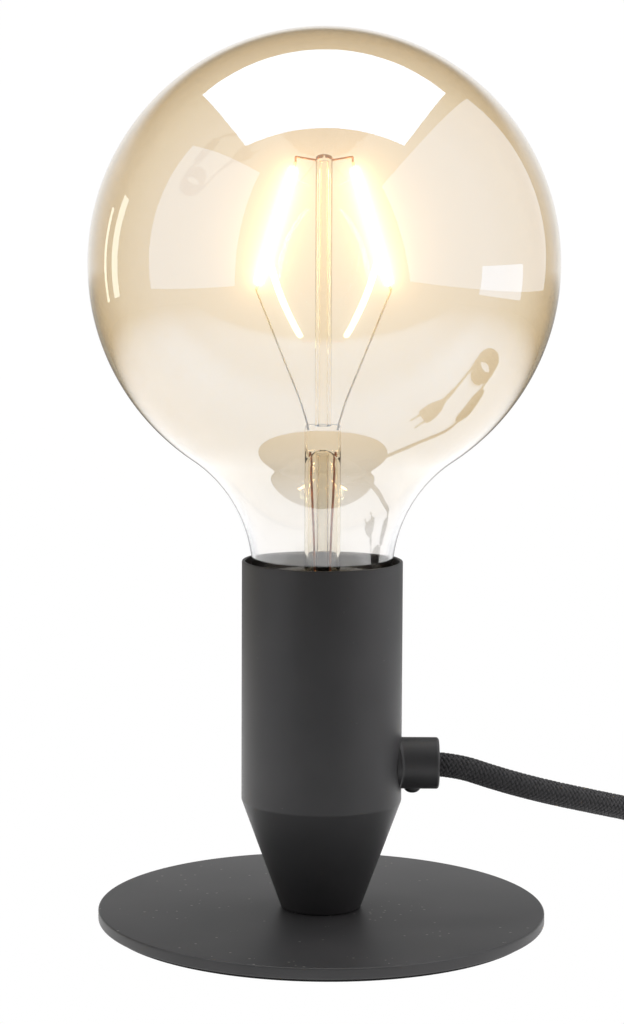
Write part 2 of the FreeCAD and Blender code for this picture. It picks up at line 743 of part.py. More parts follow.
def bulb_stem():
    """The flared glass stem, closed at the top by the flat press."""
    outer = STEM_DIAMETER / 2
    inner = outer - STEM_WALL
    seal = SEAL_DIAMETER / 2 - GLASS_WALL - THREAD_CLEARANCE
    foot = SHOULDER_Z - SEAL_LENGTH
    flare = seal - outer
    centre = (seal, foot + STEM_WALL + flare)
    tube = turned(
        (inner, PRESS_Z),
        (inner, centre[1]),
        (on_circle(centre, flare + STEM_WALL, 225), (seal, foot)),
        (seal, foot + STEM_WALL),
        (on_circle(centre, flare, 225), (outer, centre[1])),
        (outer, PRESS_Z),
    )
    low = Vector(-outer, -PRESS_THICKNESS / 2, PRESS_Z)
    press = Part.makeBox(2 * outer, PRESS_THICKNESS, PRESS_HEIGHT, low)
    press = press.makeFillet(
        PRESS_THICKNESS * 0.45,
        edges_at(press, lambda e: abs(e.BoundBox.ZLength - PRESS_HEIGHT) < 1e-6),
    )
    shoulder = turned(
        (0, PRESS_Z - PRESS_MELT),
        (outer, PRESS_Z - PRESS_MELT),
        (outer, PRESS_Z),
        (PRESS_THICKNESS / 2, PRESS_Z + PRESS_SHOULDER),
        (0, PRESS_Z + PRESS_SHOULDER),
    )
    return tube.fuse([press, shoulder]).removeSplitter()


def bulb_rod():
    """The hollow glass rod that holds the filaments' bridge."""
    foot = Vector(0, 0, PRESS_TOP)
    top = Vector(0, 0, ROD_TOP_Z)
    radius = ROD_DIAMETER / 2
    closed = turned(
        (0, ROD_TOP_Z),
        (radius, ROD_TOP_Z),
        ((radius * 0.7, ROD_TOP_Z + ROD_DOME * 0.7), (0, ROD_TOP_Z + ROD_DOME)),
    )
    return pipe(radius, ROD_BORE / 2, foot, top).fuse(closed).removeSplitter()


def filament_ends(side):
    """Top and foot of a filament's lit stretch, on the left (-1) or the right (1)."""
    top = Vector(side * FILAMENT_TOP[0], 0, GLOBE_Z + FILAMENT_TOP[1])
    foot = Vector(side * FILAMENT_FOOT[0], 0, GLOBE_Z + FILAMENT_FOOT[1])
    return top, foot


def filament(side):
    """One lit stick between its two metal tabs."""
    top, foot = filament_ends(side)
    return rod(FILAMENT_DIAMETER / 2, top, foot)


def top_bridge():
    """The wire through the rod's tip that joins both filaments at the top."""
    wires = []
    for side in (-1, 1):
        top, foot = filament_ends(side)
        lean = (top - foot).normalize()
        tab = top + lean * FILAMENT_TAB_LENGTH
        inner = Vector(side * ROD_DIAMETER / 2, 0, ROD_TOP_Z - BRIDGE_RISE)
        wires.append(bent_wire([inner, tab + Z_AXIS * BRIDGE_RISE, top], WIRE_DIAMETER / 2))
    return wires


def lead_wires(side):
    """One lead wire from the press up and out to a filament's foot."""
    top, foot = filament_ends(side)
    lean = (foot - top).normalize()
    tab = foot + lean * FILAMENT_TAB_LENGTH
    knee = Vector(side * LEAD_KNEE[0], 0, PRESS_TOP + LEAD_KNEE[1])
    root = Vector(side * LEAD_FOOT_X, 0, PRESS_TOP)
    return bent_wire([root, knee, tab, foot], WIRE_DIAMETER / 2)


def inner_leads():
    """The two copper wires in the stem, from the driver up to the press."""
    wires = []
    driver_top = BULB_BOTTOM + DRIVER_ABOVE_CONTACT + DRIVER_THICKNESS
    heights = (driver_top, driver_top + INNER_LEAD_KNEE, PRESS_Z - PRESS_MELT)
    for side in (-1, 1):
        route = [Vector(side * x, 0, z) for x, z in zip(INNER_LEAD_X, heights)]
        wires.append(bent_wire(route, WIRE_DIAMETER / 2))
    return wires


def bulb_driver():
    """The round circuit board in the cap, with its capacitor and two small parts."""
    foot = Vector(0, 0, BULB_BOTTOM + DRIVER_ABOVE_CONTACT)
    board = rod(DRIVER_DIAMETER / 2, foot, foot + Z_AXIS * DRIVER_THICKNESS)
    can = foot + Y_AXIS * CAPACITOR_Y
    pieces = [rod(CAPACITOR_DIAMETER / 2, can - Z_AXIS * CAPACITOR_LENGTH, can)]
    for size, x in ((RECTIFIER_SIZE, -CHIP_Y - RECTIFIER_SIZE[0]), (CHIP_SIZE, CHIP_Y)):
        pieces.append(Part.makeBox(*size, foot + Vector(x, CHIP_Y, -size[2])))
    return board.fuse(pieces).removeSplitter()


# ---------------------------------------------------------------- gland
def cord_gland():
    """The turned side gland with its threaded spigot, its bore and a rounded mouth."""
    barrel = rod(GLAND_DIAMETER / 2, gland_axis(BODY_INNER), gland_axis(GLAND_END_X))
    mouth = edges_at(barrel, lambda e: e.CenterOfMass.x > GLAND_END_X - CLOSE)
    barrel = barrel.makeFillet(GLAND_EDGE_RADIUS, mouth)
    barrel = barrel.cut(rod(BODY_RADIUS, ORIGIN, Vector(0, 0, BODY_RIM_Z)))
    spigot = rod(GLAND_THREAD_DIAMETER / 2, gland_axis(GLAND_INNER_X), gland_axis(SET_SCREW_X))
    bore = rod(GLAND_BORE, gland_axis(GLAND_INNER_X), gland_axis(GLAND_END_X))
    depth = GLAND_FUNNEL_DEPTH
    start = gland_axis(GLAND_END_X - depth)
    funnel = Part.makeCone(GLAND_BORE, GLAND_BORE + GLAND_FUNNEL_FLARE, depth, start, X_AXIS)
    screw = gland_axis(SET_SCREW_X)
    tapped = rod(SET_SCREW_DIAMETER / 2 + THREAD_CLEARANCE, screw, screw - Z_AXIS * GLAND_DIAMETER)
    return barrel.fuse(spigot).cut([bore, funnel, tapped]).removeSplitter()


def gland_saddle():
    """The spacer with one side curved to the inside of the body and one side flat."""
    block = rod(SADDLE_RADIUS, gland_axis(SADDLE_FLAT_X), gland_axis(BODY_RADIUS))
    block = block.common(rod(BODY_INNER, ORIGIN, Vector(0, 0, BODY_RIM_Z)))
    hole = GLAND_THREAD_DIAMETER / 2 + THREAD_CLEARANCE
    return block.cut(rod(hole, gland_axis(0), gland_axis(BODY_RADIUS)))


def gland_nut():
    """The nut on the spigot, inside the body."""
    start = gland_axis(SADDLE_FLAT_X)
    nut = hexagon(GLAND_NUT_ACROSS_FLATS, start, X_AXIS * -1, GLAND_NUT_HEIGHT)
    hole = GLAND_THREAD_DIAMETER / 2 + THREAD_CLEARANCE
    return nut.cut(rod(hole, gland_axis(0), gland_axis(BODY_RADIUS)))


def gland_set_screw():
    """The domed screw under the gland that grips the cord."""
    tip = GLAND_AXIS_Z - GLAND_BORE
    dome = SET_SCREW_PROUD
    head = GLAND_AXIS_Z - GLAND_DIAMETER / 2 - dome
    radius = SET_SCREW_DIAMETER / 2
    screw = turned(
        (0, head),
        ((radius * 0.7, head + dome * 0.3), (radius, head + dome)),
        (radius, tip - SCREW_TIP_CHAMFER),
        (radius - SCREW_TIP_CHAMFER, tip),
        (0, tip),
    )
    screw.translate(Vector(SET_SCREW_X, 0, 0))
    return screw


# ---------------------------------------------------------------- cord
LEAD_ROUTE = [
    (BODY_RADIUS + 1.0, 0.0, GLAND_AXIS_Z),
    (GLAND_END_X + 3.0, 0.0, GLAND_AXIS_Z),
    (47.5, 0.4, 38.9),
    (60.0, 2.0, 35.3),
    (74.0, 6.5, 31.5),
    (87.0, 13.0, 27.6),
    (99.0, 21.5, 22.8),
    (109.5, 30.0, 17.8),
    (119.0, 37.5, 13.6),
    (128.5, 43.3, 10.6),
    (138.5, 46.8, 9.0),
    (149.0, SWITCH_CENTRE[1], SWITCH_AXIS_Z),
    (SWITCH_X0 + SWITCH_CORD_DEPTH, SWITCH_CENTRE[1] + 0.05, SWITCH_AXIS_Z),
]


def coil_point(turn, total, climbs):
    """A point of the coil and its heading, by the angle wound since the start, in radians."""
    spiral = (total - climbs * math.pi) / (climbs + 1)
    rate = COIL_PITCH / (2 * math.pi)
    period = spiral + math.pi
    layer = min(int(turn // period), climbs)
    inside = turn - layer * period
    way = -1 if layer % 2 == 0 else 1
    start = COIL_RADIUS if way < 0 else COIL_RADIUS - rate * spiral
    if inside <= spiral:
        radius = start + way * rate * inside
        slope = way * rate
        height = layer * COIL_PITCH
        climb = 0.0
    else:
        u = inside - spiral
        radius = start + way * rate * (spiral + u - u * u / math.pi)
        slope = way * rate * (1 - 2 * u / math.pi)
        share = u / math.pi
        height = (layer + 3 * share**2 - 2 * share**3) * COIL_PITCH
        climb = 6 * share * (1 - share) * COIL_PITCH / math.pi
    angle = math.radians(COIL_START_DEG) - turn
    out = Vector(math.cos(angle), math.sin(angle), 0)
    along = Vector(math.sin(angle), -math.cos(angle), 0)
    centre = Vector(COIL_CENTRE[0], COIL_CENTRE[1], CORD_RADIUS + height)
    heading = along * radius + out * slope + Z_AXIS * climb
    return centre + out * radius, heading.normalize()


def biarc(start, heading, end, ending):
    """Two tangent arcs between two points with given headings."""
    chord = end - start
    both = heading + ending
    spread = 2 * (1 - heading.dot(ending))
    reach = chord.dot(both)
    if spread < 1e-9:
        tangent = chord.dot(chord) / (2 * reach)
    else:
        tangent = (-reach + math.sqrt(reach**2 + spread * chord.dot(chord))) / spread
    first = start + heading * tangent
    second = end - ending * tangent
    joint = (first + second) * 0.5
    edges = []
    for a, control, b in ((start, first, joint), (joint, second, end)):
        middle = (a + b) * 0.5
        half = (b - a).Length / 2
        lean = math.acos(min(1.0, half / tangent))
        via = middle + (control - middle).normalize() * half * math.tan(lean / 2)
        edges.append(Part.Arc(a, via, b).toShape())
    return edges


def coil_edges():
    """The coil's path: a straight end, quarter turns as biarcs, a straight end."""
    total = math.radians(COIL_START_DEG - COIL_END_DEG + 360 * (COIL_TURNS + 1))
    climbs = COIL_LAYERS - 1
    spiral = (total - climbs * math.pi) / (climbs + 1)
    stops = [0.0]
    for layer in range(COIL_LAYERS):
        begin = layer * (spiral + math.pi)
        steps = math.ceil(spiral / (math.pi / 2))
        stops += [begin + spiral * k / steps for k in range(1, steps + 1)]
        if layer < climbs:
            stops += [begin + spiral + math.pi * k / 4 for k in range(1, 5)]
    places = [coil_point(stop, total, climbs) for stop in stops]
    first, first_heading = places[0]
    last, last_heading = places[-1]
    edges = [Part.LineSegment(first - first_heading * CORD_DIAMETER, first).toShape()]
    for (a, heading), (b, ending) in zip(places, places[1:]):
        edges += biarc(a, heading, b, ending)
    edges.append(Part.LineSegment(last, last + last_heading * CORD_DIAMETER).toShape())
    return edges


def least_gap(edges, step=3.0):
    """The least space between two stretches of a tube that are more than a third of a turn apart."""
    points = []
    along = 0.0
    for edge in edges:
        count = max(2, int(edge.Length / step))
        for k in range(count):
            length = edge.Length * k / count
            points.append((along + length, edge.valueAt(edge.getParameterByLength(length))))
        along += edge.Length
    apart = COIL_RADIUS * 2
    near = min(
        a.distanceToPoint(b)
        for i, (s, a) in enumerate(points)
        for t, b in points[i + 1:]
        if t - s > apart
    )
    return near - CORD_DIAMETER


def write_cord():
    """The cord's four stretches, end to end."""
    lead, lead_length = cord_tube("cord_lead", LEAD_ROUTE)
    winding = coil_edges()
    coil, coil_length = cord_along("cord_coil", winding)
    print(f"cord_coil: least gap {least_gap(winding):.2f}")
    begin = winding[0].valueAt(winding[0].FirstParameter)
    end = winding[-1].valueAt(winding[-1].LastParameter)
    lead_in = begin - winding[0].tangentAt(winding[0].FirstParameter) * COIL_LEAD_IN
    lead_out = end + winding[-1].tangentAt(winding[-1].LastParameter) * COIL_LEAD_OUT
    relief_end = PLUG_FACE_X + PLUG_LENGTH + PLUG_RELIEF_LENGTH
    middle_route = [
        (SWITCH_X1 - 5.0, SWITCH_CENTRE[1], SWITCH_AXIS_Z),
        (SWITCH_X1 + 5.0, SWITCH_CENTRE[1] + 0.05, SWITCH_AXIS_Z - 0.2),
        (SWITCH_X1 + 15.2, 48.7, 5.7),
        tuple(lead_in),
        tuple(begin),
    ]
    tail_route = [
        tuple(end),
        tuple(lead_out),
        (229.5, -25.7, 21.9),
        (217.5, -26.6, 17.4),
        (206.0, -27.3, 12.0),
        (197.5, -27.6, 9.0),
        (relief_end + 8.5, PLUG_Y, PLUG_AXIS_Z),
        (relief_end, PLUG_Y, PLUG_AXIS_Z),
    ]
    middle, middle_length = cord_tube("cord_middle", middle_route)
    tail, tail_length = cord_tube("cord_tail", tail_route)
    print(f"cord in all {lead_length + middle_length + coil_length + tail_length:.1f}")
    print("coil from", begin, "to", end)
    write("cord_lead", lead)
    write("cord_middle", middle)
    write("cord_coil", coil)
    write("cord_tail", tail)


def core_wire(side):
    """One core wire from the stripped cord up into its seat in the terminal disc."""
    start = Vector(LEAD_ROUTE[0][0], side * CORE_SPACING / 2, GLAND_AXIS_Z)
    seat = DISC_FOOT + WIRE_SEAT_DEPTH - THREAD_CLEARANCE
    route = [start, core_place(side, GLAND_AXIS_Z), core_place(side, seat)]
    edges, _ = corner_arcs(route)
    return swept(edges, CORE_DIAMETER / 2)[0]


# ---------------------------------------------------------------- inline switch
def rounded_block(length, width, low, high, corner):
    """An upright block with round corners, centred on the switch."""
    base = Vector(SWITCH_CENTRE[0] - length / 2, SWITCH_CENTRE[1] - width / 2, low)
    block = Part.makeBox(length, width, high - low, base)
    upright = edges_at(block, lambda e: abs(e.BoundBox.ZLength - (high - low)) < 1e-6)
    return block.makeFillet(corner, upright)


def switch_bore(gap):
    """The way of the cord through the switch's ends."""
    start = Vector(SWITCH_X0 - 1, SWITCH_CENTRE[1], SWITCH_AXIS_Z)
    end = Vector(SWITCH_X1 + 1, SWITCH_CENTRE[1], SWITCH_AXIS_Z)
    return rod(CORD_RADIUS + gap, start, end)


def switch_half(upper):
    """One moulded half of the switch, hollow, with a soft outer edge."""
    low, high = (SWITCH_AXIS_Z, SWITCH_HEIGHT) if upper else (0.0, SWITCH_AXIS_Z)
    outer_z = high if upper else low
    half = rounded_block(SWITCH_LENGTH, SWITCH_WIDTH, low, high, SWITCH_CORNER_RADIUS)
    rim = edges_at(
        half,
        lambda e: abs(e.BoundBox.ZMin - outer_z) < CLOSE and abs(e.BoundBox.ZMax - outer_z) < CLOSE,
    )
    half = half.makeFillet(SWITCH_EDGE_RADIUS, rim)
    end_wall = SWITCH_CORD_DEPTH + SWITCH_WALL / 2
    inner_low = low if upper else low + SWITCH_WALL
    inner_high = high - SWITCH_WALL if upper else high
    hollow = rounded_block(
        SWITCH_LENGTH - 2 * end_wall,
        SWITCH_WIDTH - 2 * SWITCH_WALL,
        inner_low,
        inner_high,
        SWITCH_CORNER_RADIUS - SWITCH_WALL,
    )
    return half.cut([hollow, switch_bore(CORD_CLEARANCE)])


def rocker_axis():
    """The place of the rocker's pin."""
    return Vector(SWITCH_CENTRE[0], SWITCH_CENTRE[1], SWITCH_HEIGHT - ROCKER_PIN_SINK)


def switch_upper():
    """The upper half with the rocker's window and the cheeks that hold its pin."""
    half = switch_half(True)
    axis = rocker_axis()
    length, cheek = CHEEK_SIZE
    window_y = ROCKER_WIDTH / 2 + ROCKER_GAP
    low_z = axis.z - CHEEK_DROP
    cheeks = []
    for y in (axis.y - window_y - cheek, axis.y + window_y):
        low = Vector(axis.x - length / 2, y, low_z)
        cheeks.append(Part.makeBox(length, cheek, SWITCH_HEIGHT - SWITCH_WALL - low_z, low))
    half = half.fuse(cheeks)
    window_x = ROCKER_LENGTH / 2 + ROCKER_GAP
    low = Vector(axis.x - window_x, axis.y - window_y, low_z)
    window = Part.makeBox(2 * window_x, 2 * window_y, SWITCH_HEIGHT, low)
    reach = Y_AXIS * (window_y + cheek)
    pin_hole = rod(ROCKER_PIN_DIAMETER / 2, axis - reach, axis + reach)
    return half.cut([window, pin_hole]).removeSplitter()


def switch_rocker():
    """The rocker: a dished top and a keel on the pin, tipped to its on side."""
    half = ROCKER_LENGTH / 2
    top = ROCKER_PIN_SINK + ROCKER_PROUD
    foot = top - ROCKER_DEPTH
    keel, rise = ROCKER_KEEL
    section = outline(
        (-half, foot + rise),
        (-half, top),
        ((0, top - ROCKER_DIP), (half, top)),
        (half, foot + rise),
        (keel, foot),
        (-keel, foot),
    )
    rocker = Part.Face(section).extrude(Y_AXIS * ROCKER_WIDTH)
    rocker.translate(Y_AXIS * (-ROCKER_WIDTH / 2))
    across = Y_AXIS * ROCKER_WIDTH
    rocker = rocker.common(rod(math.hypot(half, top) - ROCKER_END_GAP, across * -1, across))
    rocker = rocker.cut(rod(ROCKER_PIN_DIAMETER / 2 + THREAD_CLEARANCE, across * -1, across))
    rocker.rotate(ORIGIN, Y_AXIS, ROCKER_TILT)
    rocker.translate(rocker_axis())
    return rocker


def switch_pin():
    """The rocker's steel pin, which ends inside the cheeks."""
    reach = Y_AXIS * (ROCKER_WIDTH / 2 + ROCKER_GAP + CHEEK_SIZE[1] - THREAD_CLEARANCE)
    axis = rocker_axis()
    return rod(ROCKER_PIN_DIAMETER / 2 - PIN_SLACK, axis - reach, axis + reach)


def switch_contacts():
    """The two brass terminal blocks under the rocker."""
    blocks = []
    length, width, height = SWITCH_CONTACT_SIZE
    for side in (-1, 1):
        low = Vector(SWITCH_CENTRE[0] + side * SWITCH_CONTACT_X, SWITCH_CENTRE[1], SWITCH_WALL)
        low = low - Vector(length / 2, width / 2, 0)
        block = Part.makeBox(length, width, height, low)
        start = low + Vector(0, width / 2, height / 2)
        blocks.append(block.cut(rod(SWITCH_CONTACT_HOLE / 2, start, start + X_AXIS * length)))
    return blocks


def screw_place(side, height):
    """A point on the axis of one of the switch's screws."""
    along = SWITCH_LENGTH / 2 - SWITCH_SCREW_INSET[0]
    across = SWITCH_WIDTH / 2 - SWITCH_SCREW_INSET[1]
    return Vector(SWITCH_CENTRE[0] + side * along, SWITCH_CENTRE[1] - side * across, height)


def switch_screws():
    """The two screws that join the halves from below."""
    screws = []
    for side in (-1, 1):
        foot = screw_place(side, SWITCH_SCREW_SINK)
        head = rod(SWITCH_SCREW_HEAD / 2, foot, foot + Z_AXIS * SWITCH_SCREW_HEAD_HEIGHT)
        tip = screw_place(side, SWITCH_HEIGHT - SWITCH_SCREW_TOP_GAP)
        shank = rod(SWITCH_SCREW_DIAMETER / 2, foot, tip)
        screws.append(head.fuse(shank).removeSplitter())
    return screws


def screw_holes():
    """The holes and counterbores that the switch's screws need."""
    holes = []
    bearing = SWITCH_SCREW_SINK + SWITCH_SCREW_HEAD_HEIGHT
    end = SWITCH_HEIGHT - SWITCH_SCREW_TOP_GAP + SCREW_RUN_OUT / 2
    for side in (-1, 1):
        foot = screw_place(side, 0)
        holes.append(rod(SWITCH_SCREW_HEAD / 2 + THREAD_CLEARANCE, foot, screw_place(side, bearing)))
        holes.append(rod(SWITCH_SCREW_DIAMETER / 2 + THREAD_CLEARANCE, foot, screw_place(side, end)))
    return holes


# ---------------------------------------------------------------- plug
def rounded_section(x, width, height, corner):
    """A rounded rectangle square to X, centred on the plug's axis."""
    arcs = []
    for quarter, (side_y, side_z) in enumerate(((1, 1), (-1, 1), (-1, -1), (1, -1))):
        y = PLUG_Y + side_y * (width / 2 - corner)
        z = PLUG_AXIS_Z + side_z * (height / 2 - corner)
        points = []
        for degrees in (90 * quarter, 90 * quarter + 45, 90 * quarter + 90):
            along, up = on_circle((y, z), corner, degrees)
            points.append(Vector(x, along, up))
        arcs.append(points)
    edges = []
    for points, following in zip(arcs, arcs[1:] + arcs[:1]):
        edges.append(Part.Arc(*points).toShape())
        edges.append(Part.LineSegment(points[2], following[0]).toShape())
    return Part.Wire(edges)


def plug_body():
    """The flat moulded plug, which draws in to its tapered strain relief."""
    x = PLUG_FACE_X
    back = x + PLUG_LENGTH
    edge = PLUG_EDGE
    corner = PLUG_CORNER
    neck = PLUG_RELIEF_DIAMETER
    sections = [
        rounded_section(x, PLUG_WIDTH - 2 * edge, PLUG_HEIGHT - 2 * edge, corner - edge),
        rounded_section(x + edge, PLUG_WIDTH, PLUG_HEIGHT, corner),
        rounded_section(x + PLUG_LENGTH / 3, PLUG_WIDTH, PLUG_HEIGHT, corner),
        rounded_section(x + PLUG_LENGTH * 0.56, PLUG_WIDTH * 0.86, PLUG_HEIGHT, corner),
        rounded_section(x + PLUG_LENGTH * 0.8, PLUG_WIDTH * 0.56, PLUG_HEIGHT - edge, corner),
        rounded_section(back, neck + 2, neck + 1, neck / 2),
    ]
    body = Part.makeLoft(sections, True, True)
    root = Vector(back, PLUG_Y, PLUG_AXIS_Z)
    tip = CORD_RADIUS + PLUG_RELIEF_WALL
    relief = Part.makeCone(neck / 2, tip, PLUG_RELIEF_LENGTH, root, X_AXIS)
    return body.fuse(relief).cut([pin_root(-1), pin_root(1)]).removeSplitter()


def pin_point(side, x):
    """A point on one pin's axis."""
    return Vector(x, PLUG_Y + side * PIN_SPACING / 2, PLUG_AXIS_Z)


def pin_root(side):
    """The thin end of a pin that is moulded into the plug."""
    return rod(PIN_ROOT_DIAMETER / 2, pin_point(side, PLUG_FACE_X), pin_point(side, PLUG_FACE_X + PIN_ROOT))


def plug_pins():
    """The two round pins with rounded tips and thinner roots."""
    pins = []
    tip_x = PLUG_FACE_X - PIN_LENGTH
    for side in (-1, 1):
        pin = rod(PIN_DIAMETER / 2, pin_point(side, tip_x), pin_point(side, PLUG_FACE_X))
        tip = edges_at(pin, lambda e: abs(e.CenterOfMass.x - tip_x) < CLOSE)
        pin = pin.makeFillet(PIN_TIP_RADIUS, tip)
        pins.append(pin.fuse(pin_root(side)).removeSplitter())
    return pins


# ---------------------------------------------------------------- all nodes
def main():
    """Builds every node and writes it."""
    os.makedirs("parts", exist_ok=True)
    write("base_pad", base_pad())
    write("base_plate", base_plate())
    write("base_screw", base_screw())
    write("body_shell", body_shell())
    write("foot_insert", foot_insert())
    write("threaded_tube", threaded_tube())
    write("tube_foot_nut", lock_nut(INSERT_TOP))
    write("tube_top_nut", lock_nut(HOLDER_Z - NUT_HEIGHT))
    write("holder_base", holder_base())
    write("holder_sleeve", holder_sleeve())
    write("terminal_disc", terminal_disc())
    write("screw_shell", screw_shell())
    write("centre_contact", centre_contact())
    write("side_contact", side_contact())
    write("terminal_screws", *terminal_screws())
    write("bulb_glass", bulb_glass())
    write("bulb_cap", bulb_cap())
    write("bulb_insulator", bulb_insulator())
    write("bulb_contact", bulb_contact())
    write("bulb_driver", bulb_driver())
    write("bulb_stem", bulb_stem())
    write("bulb_rod", bulb_rod())
    write("filament_left", filament(-1))
    write("filament_right", filament(1))
    write("filament_bridge", *top_bridge())
    write("lead_wire_left", lead_wires(-1))
    write("lead_wire_right", lead_wires(1))
    write("inner_leads", *inner_leads())
    write("cord_gland", cord_gland())
    write("gland_saddle", gland_saddle())
    write("gland_nut", gland_nut())
    write("gland_set_screw", gland_set_screw())
    write("neutral_wire", core_wire(-1))
    write("live_wire", core_wire(1))
    write_cord()
    write("switch_lower", switch_half(False).cut(screw_holes()))
    write("switch_upper", switch_upper().cut(screw_holes()))
    write("switch_rocker", switch_rocker())
    write("switch_pin", switch_pin())
    write("switch_contacts", *switch_contacts())
    write("switch_screws", *switch_screws())
    write("plug_body", plug_body())
    write("plug_pins", *plug_pins())


main()
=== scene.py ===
"""The looks of a small table lamp: a steel disc, a spun cup body and a bare globe bulb.

Metres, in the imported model's own frame: Z is up along the bulb's axis, X runs along the
side gland, and the photograph looks along Y. A profile is a list of (radius, height).
"""

import logging
import math
from dataclasses import dataclass, field
from enum import Enum
from functools import cached_property
from typing import Any, Callable

import bmesh
import bpy
from mathutils import Matrix, Vector


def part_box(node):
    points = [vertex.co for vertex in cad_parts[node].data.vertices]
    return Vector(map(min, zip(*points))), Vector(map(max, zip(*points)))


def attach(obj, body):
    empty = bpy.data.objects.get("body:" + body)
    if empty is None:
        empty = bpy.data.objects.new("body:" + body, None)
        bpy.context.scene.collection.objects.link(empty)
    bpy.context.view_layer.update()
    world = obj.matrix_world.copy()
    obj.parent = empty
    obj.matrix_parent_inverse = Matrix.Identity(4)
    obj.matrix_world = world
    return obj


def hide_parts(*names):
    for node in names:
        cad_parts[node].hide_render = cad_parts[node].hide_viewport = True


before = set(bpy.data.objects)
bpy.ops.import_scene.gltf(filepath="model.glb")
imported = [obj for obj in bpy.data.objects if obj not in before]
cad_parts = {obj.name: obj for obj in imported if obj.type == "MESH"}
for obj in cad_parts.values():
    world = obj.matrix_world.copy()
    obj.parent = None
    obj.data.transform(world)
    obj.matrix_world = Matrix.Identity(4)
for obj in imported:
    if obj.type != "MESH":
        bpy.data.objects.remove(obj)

MM = 0.001
PICTURE = (624, 1024)  # pixels
SAME_PLACE = 1e-7  # points of a new mesh that are nearer than this become one

MATH = "ShaderNodeMath"
VECTOR_MATH = "ShaderNodeVectorMath"
RANGE = "ShaderNodeMapRange"
SMOOTH = {"interpolation_type": "SMOOTHSTEP"}
RAMP = "ShaderNodeValToRGB"
COORDINATES = "ShaderNodeTexCoord"
NOISE = "ShaderNodeTexNoise"
CELLS = "ShaderNodeTexVoronoi"
SPLIT = "ShaderNodeSeparateXYZ"
JOIN = "ShaderNodeCombineXYZ"
EMISSION = "ShaderNodeEmission"
CIRCLE = "GeometryNodeCurvePrimitiveCircle"
MIX = "ShaderNodeMix"
LEVEL_A, LEVEL_B = 2, 3  # a mix node's sockets where it mixes levels
COLOUR_A, COLOUR_B, COLOUR_MIXED = 6, 7, 2  # and where it mixes colours

Point = tuple[float, float]
Triple = tuple[float, float, float]
Profile = list[Point]
Stops = tuple[tuple[float, str], ...]
Tree = bpy.types.NodeTree
Node = bpy.types.Node
Socket = bpy.types.NodeSocket
Source = Node | Socket
Piece = bpy.types.Object

log = logging.getLogger("lamp")


class Body(Enum):
    """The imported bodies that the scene's own pieces ride on."""

    LAMP = "root"
    BULB = "bulb"


class FarEnd(Enum):
    """What a stretch of cord ends in."""

    FITTING = "fitting"
    PLUG = "plug"


class Lay(Enum):
    """How a stretch of cord lies."""

    LOOSE = "loose"
    COILED = "coiled"


# ------------------------------------------------------------------ small tools
def linear(colour: str) -> tuple[float, float, float, float]:
    """Turns an sRGB hex colour into linear RGBA.

    Args:
        colour: six hex digits after a hash sign.

    Returns:
        Red, green, blue and an alpha of one.
    """
    shares = [int(colour[k:k + 2], 16) / 255 for k in (1, 3, 5)]
    return (*[c / 12.92 if c <= 0.04045 else ((c + 0.055) / 1.055) ** 2.4 for c in shares], 1.0)


WHITE = linear("#ffffff")


def add_node(tree: Tree, kind: str, inputs: dict | None = None, **settings: Any) -> Node:
    """Adds a node with its settings and its links.

    Args:
        tree: the tree that gets the node.
        kind: the node's type.
        inputs: a value, or a node or socket to link from, for each input by name or number.
        settings: attributes of the node; stops are the colours of a ramp by place.

    Returns:
        The new node.
    """
    node = tree.nodes.new(kind)
    for name, value in settings.items():
        if name == "stops":
            ramp = node.color_ramp
            for k, (place, colour) in enumerate(value):
                stop = ramp.elements[k] if k < 2 else ramp.elements.new(place)
                stop.position = place
                stop.color = linear(colour)
        else:
            setattr(node, name, value)
    for key, value in (inputs or {}).items():
        if isinstance(value, Node):
            value = value.outputs[0]
        if isinstance(value, Socket):
            tree.links.new(value, node.inputs[key])
        else:
            node.inputs[key].default_value = value
    return node


@dataclass(frozen=True)
class Fade:
    """A change from one level to another between two places."""

    start: float = 0.0
    end: float = 1.0

    def of(self, place: Source, first: Any = 0.0, last: Any = 1.0) -> dict[str, Any]:
        """The inputs of a map range that follows a place from a first level to a last one."""
        return {"Value": place, "From Min": self.start, "From Max": self.end,
                "To Min": first, "To Max": last}


def arc(centre: Point, radius: float, start: float, end: float, count: int = 8) -> Profile:
    """Points of an arc in the (radius, height) plane.

    Args:
        centre: the arc's centre.
        radius: the arc's radius.
        start: the first angle in degrees.
        end: the last angle in degrees.
        count: how many runs it is drawn with.

    Returns:
        The points, with both ends.
    """
    turns = [math.radians(start + (end - start) * k / count) for k in range(count + 1)]
    return [(centre[0] + radius * math.cos(t), centre[1] + radius * math.sin(t)) for t in turns]


def linked(name: str, data: bpy.types.ID) -> Piece:
    """Puts a new object in the scene, at the origin.

    Args:
        name: its name.
        data: its mesh, curve, light or camera.

    Returns:
        The new object.
    """
    made = bpy.data.objects.new(name, data)
    bpy.context.scene.collection.objects.link(made)
    return made


def new_piece(name: str, points: list, faces: list, crease: float = 35.0) -> Piece:
    """Makes a mesh object with its faces outwards and smooth between its edges.

    Args:
        name: the piece's name.
        points: its vertices.
        faces: its faces, as vertex numbers.
        crease: the angle in degrees past which an edge stays sharp.

    Returns:
        The new object.
    """
    mesh = bpy.data.meshes.new(name)
    mesh.from_pydata(points, [], faces)
    shape = bmesh.new()
    shape.from_mesh(mesh)
    bmesh.ops.remove_doubles(shape, verts=shape.verts, dist=SAME_PLACE)
    bmesh.ops.recalc_face_normals(shape, faces=shape.faces)
    shape.to_mesh(mesh)
    shape.free()
    mesh.shade_smooth()
    mesh.set_sharp_from_angle(angle=math.radians(crease))
    return linked(name, mesh)


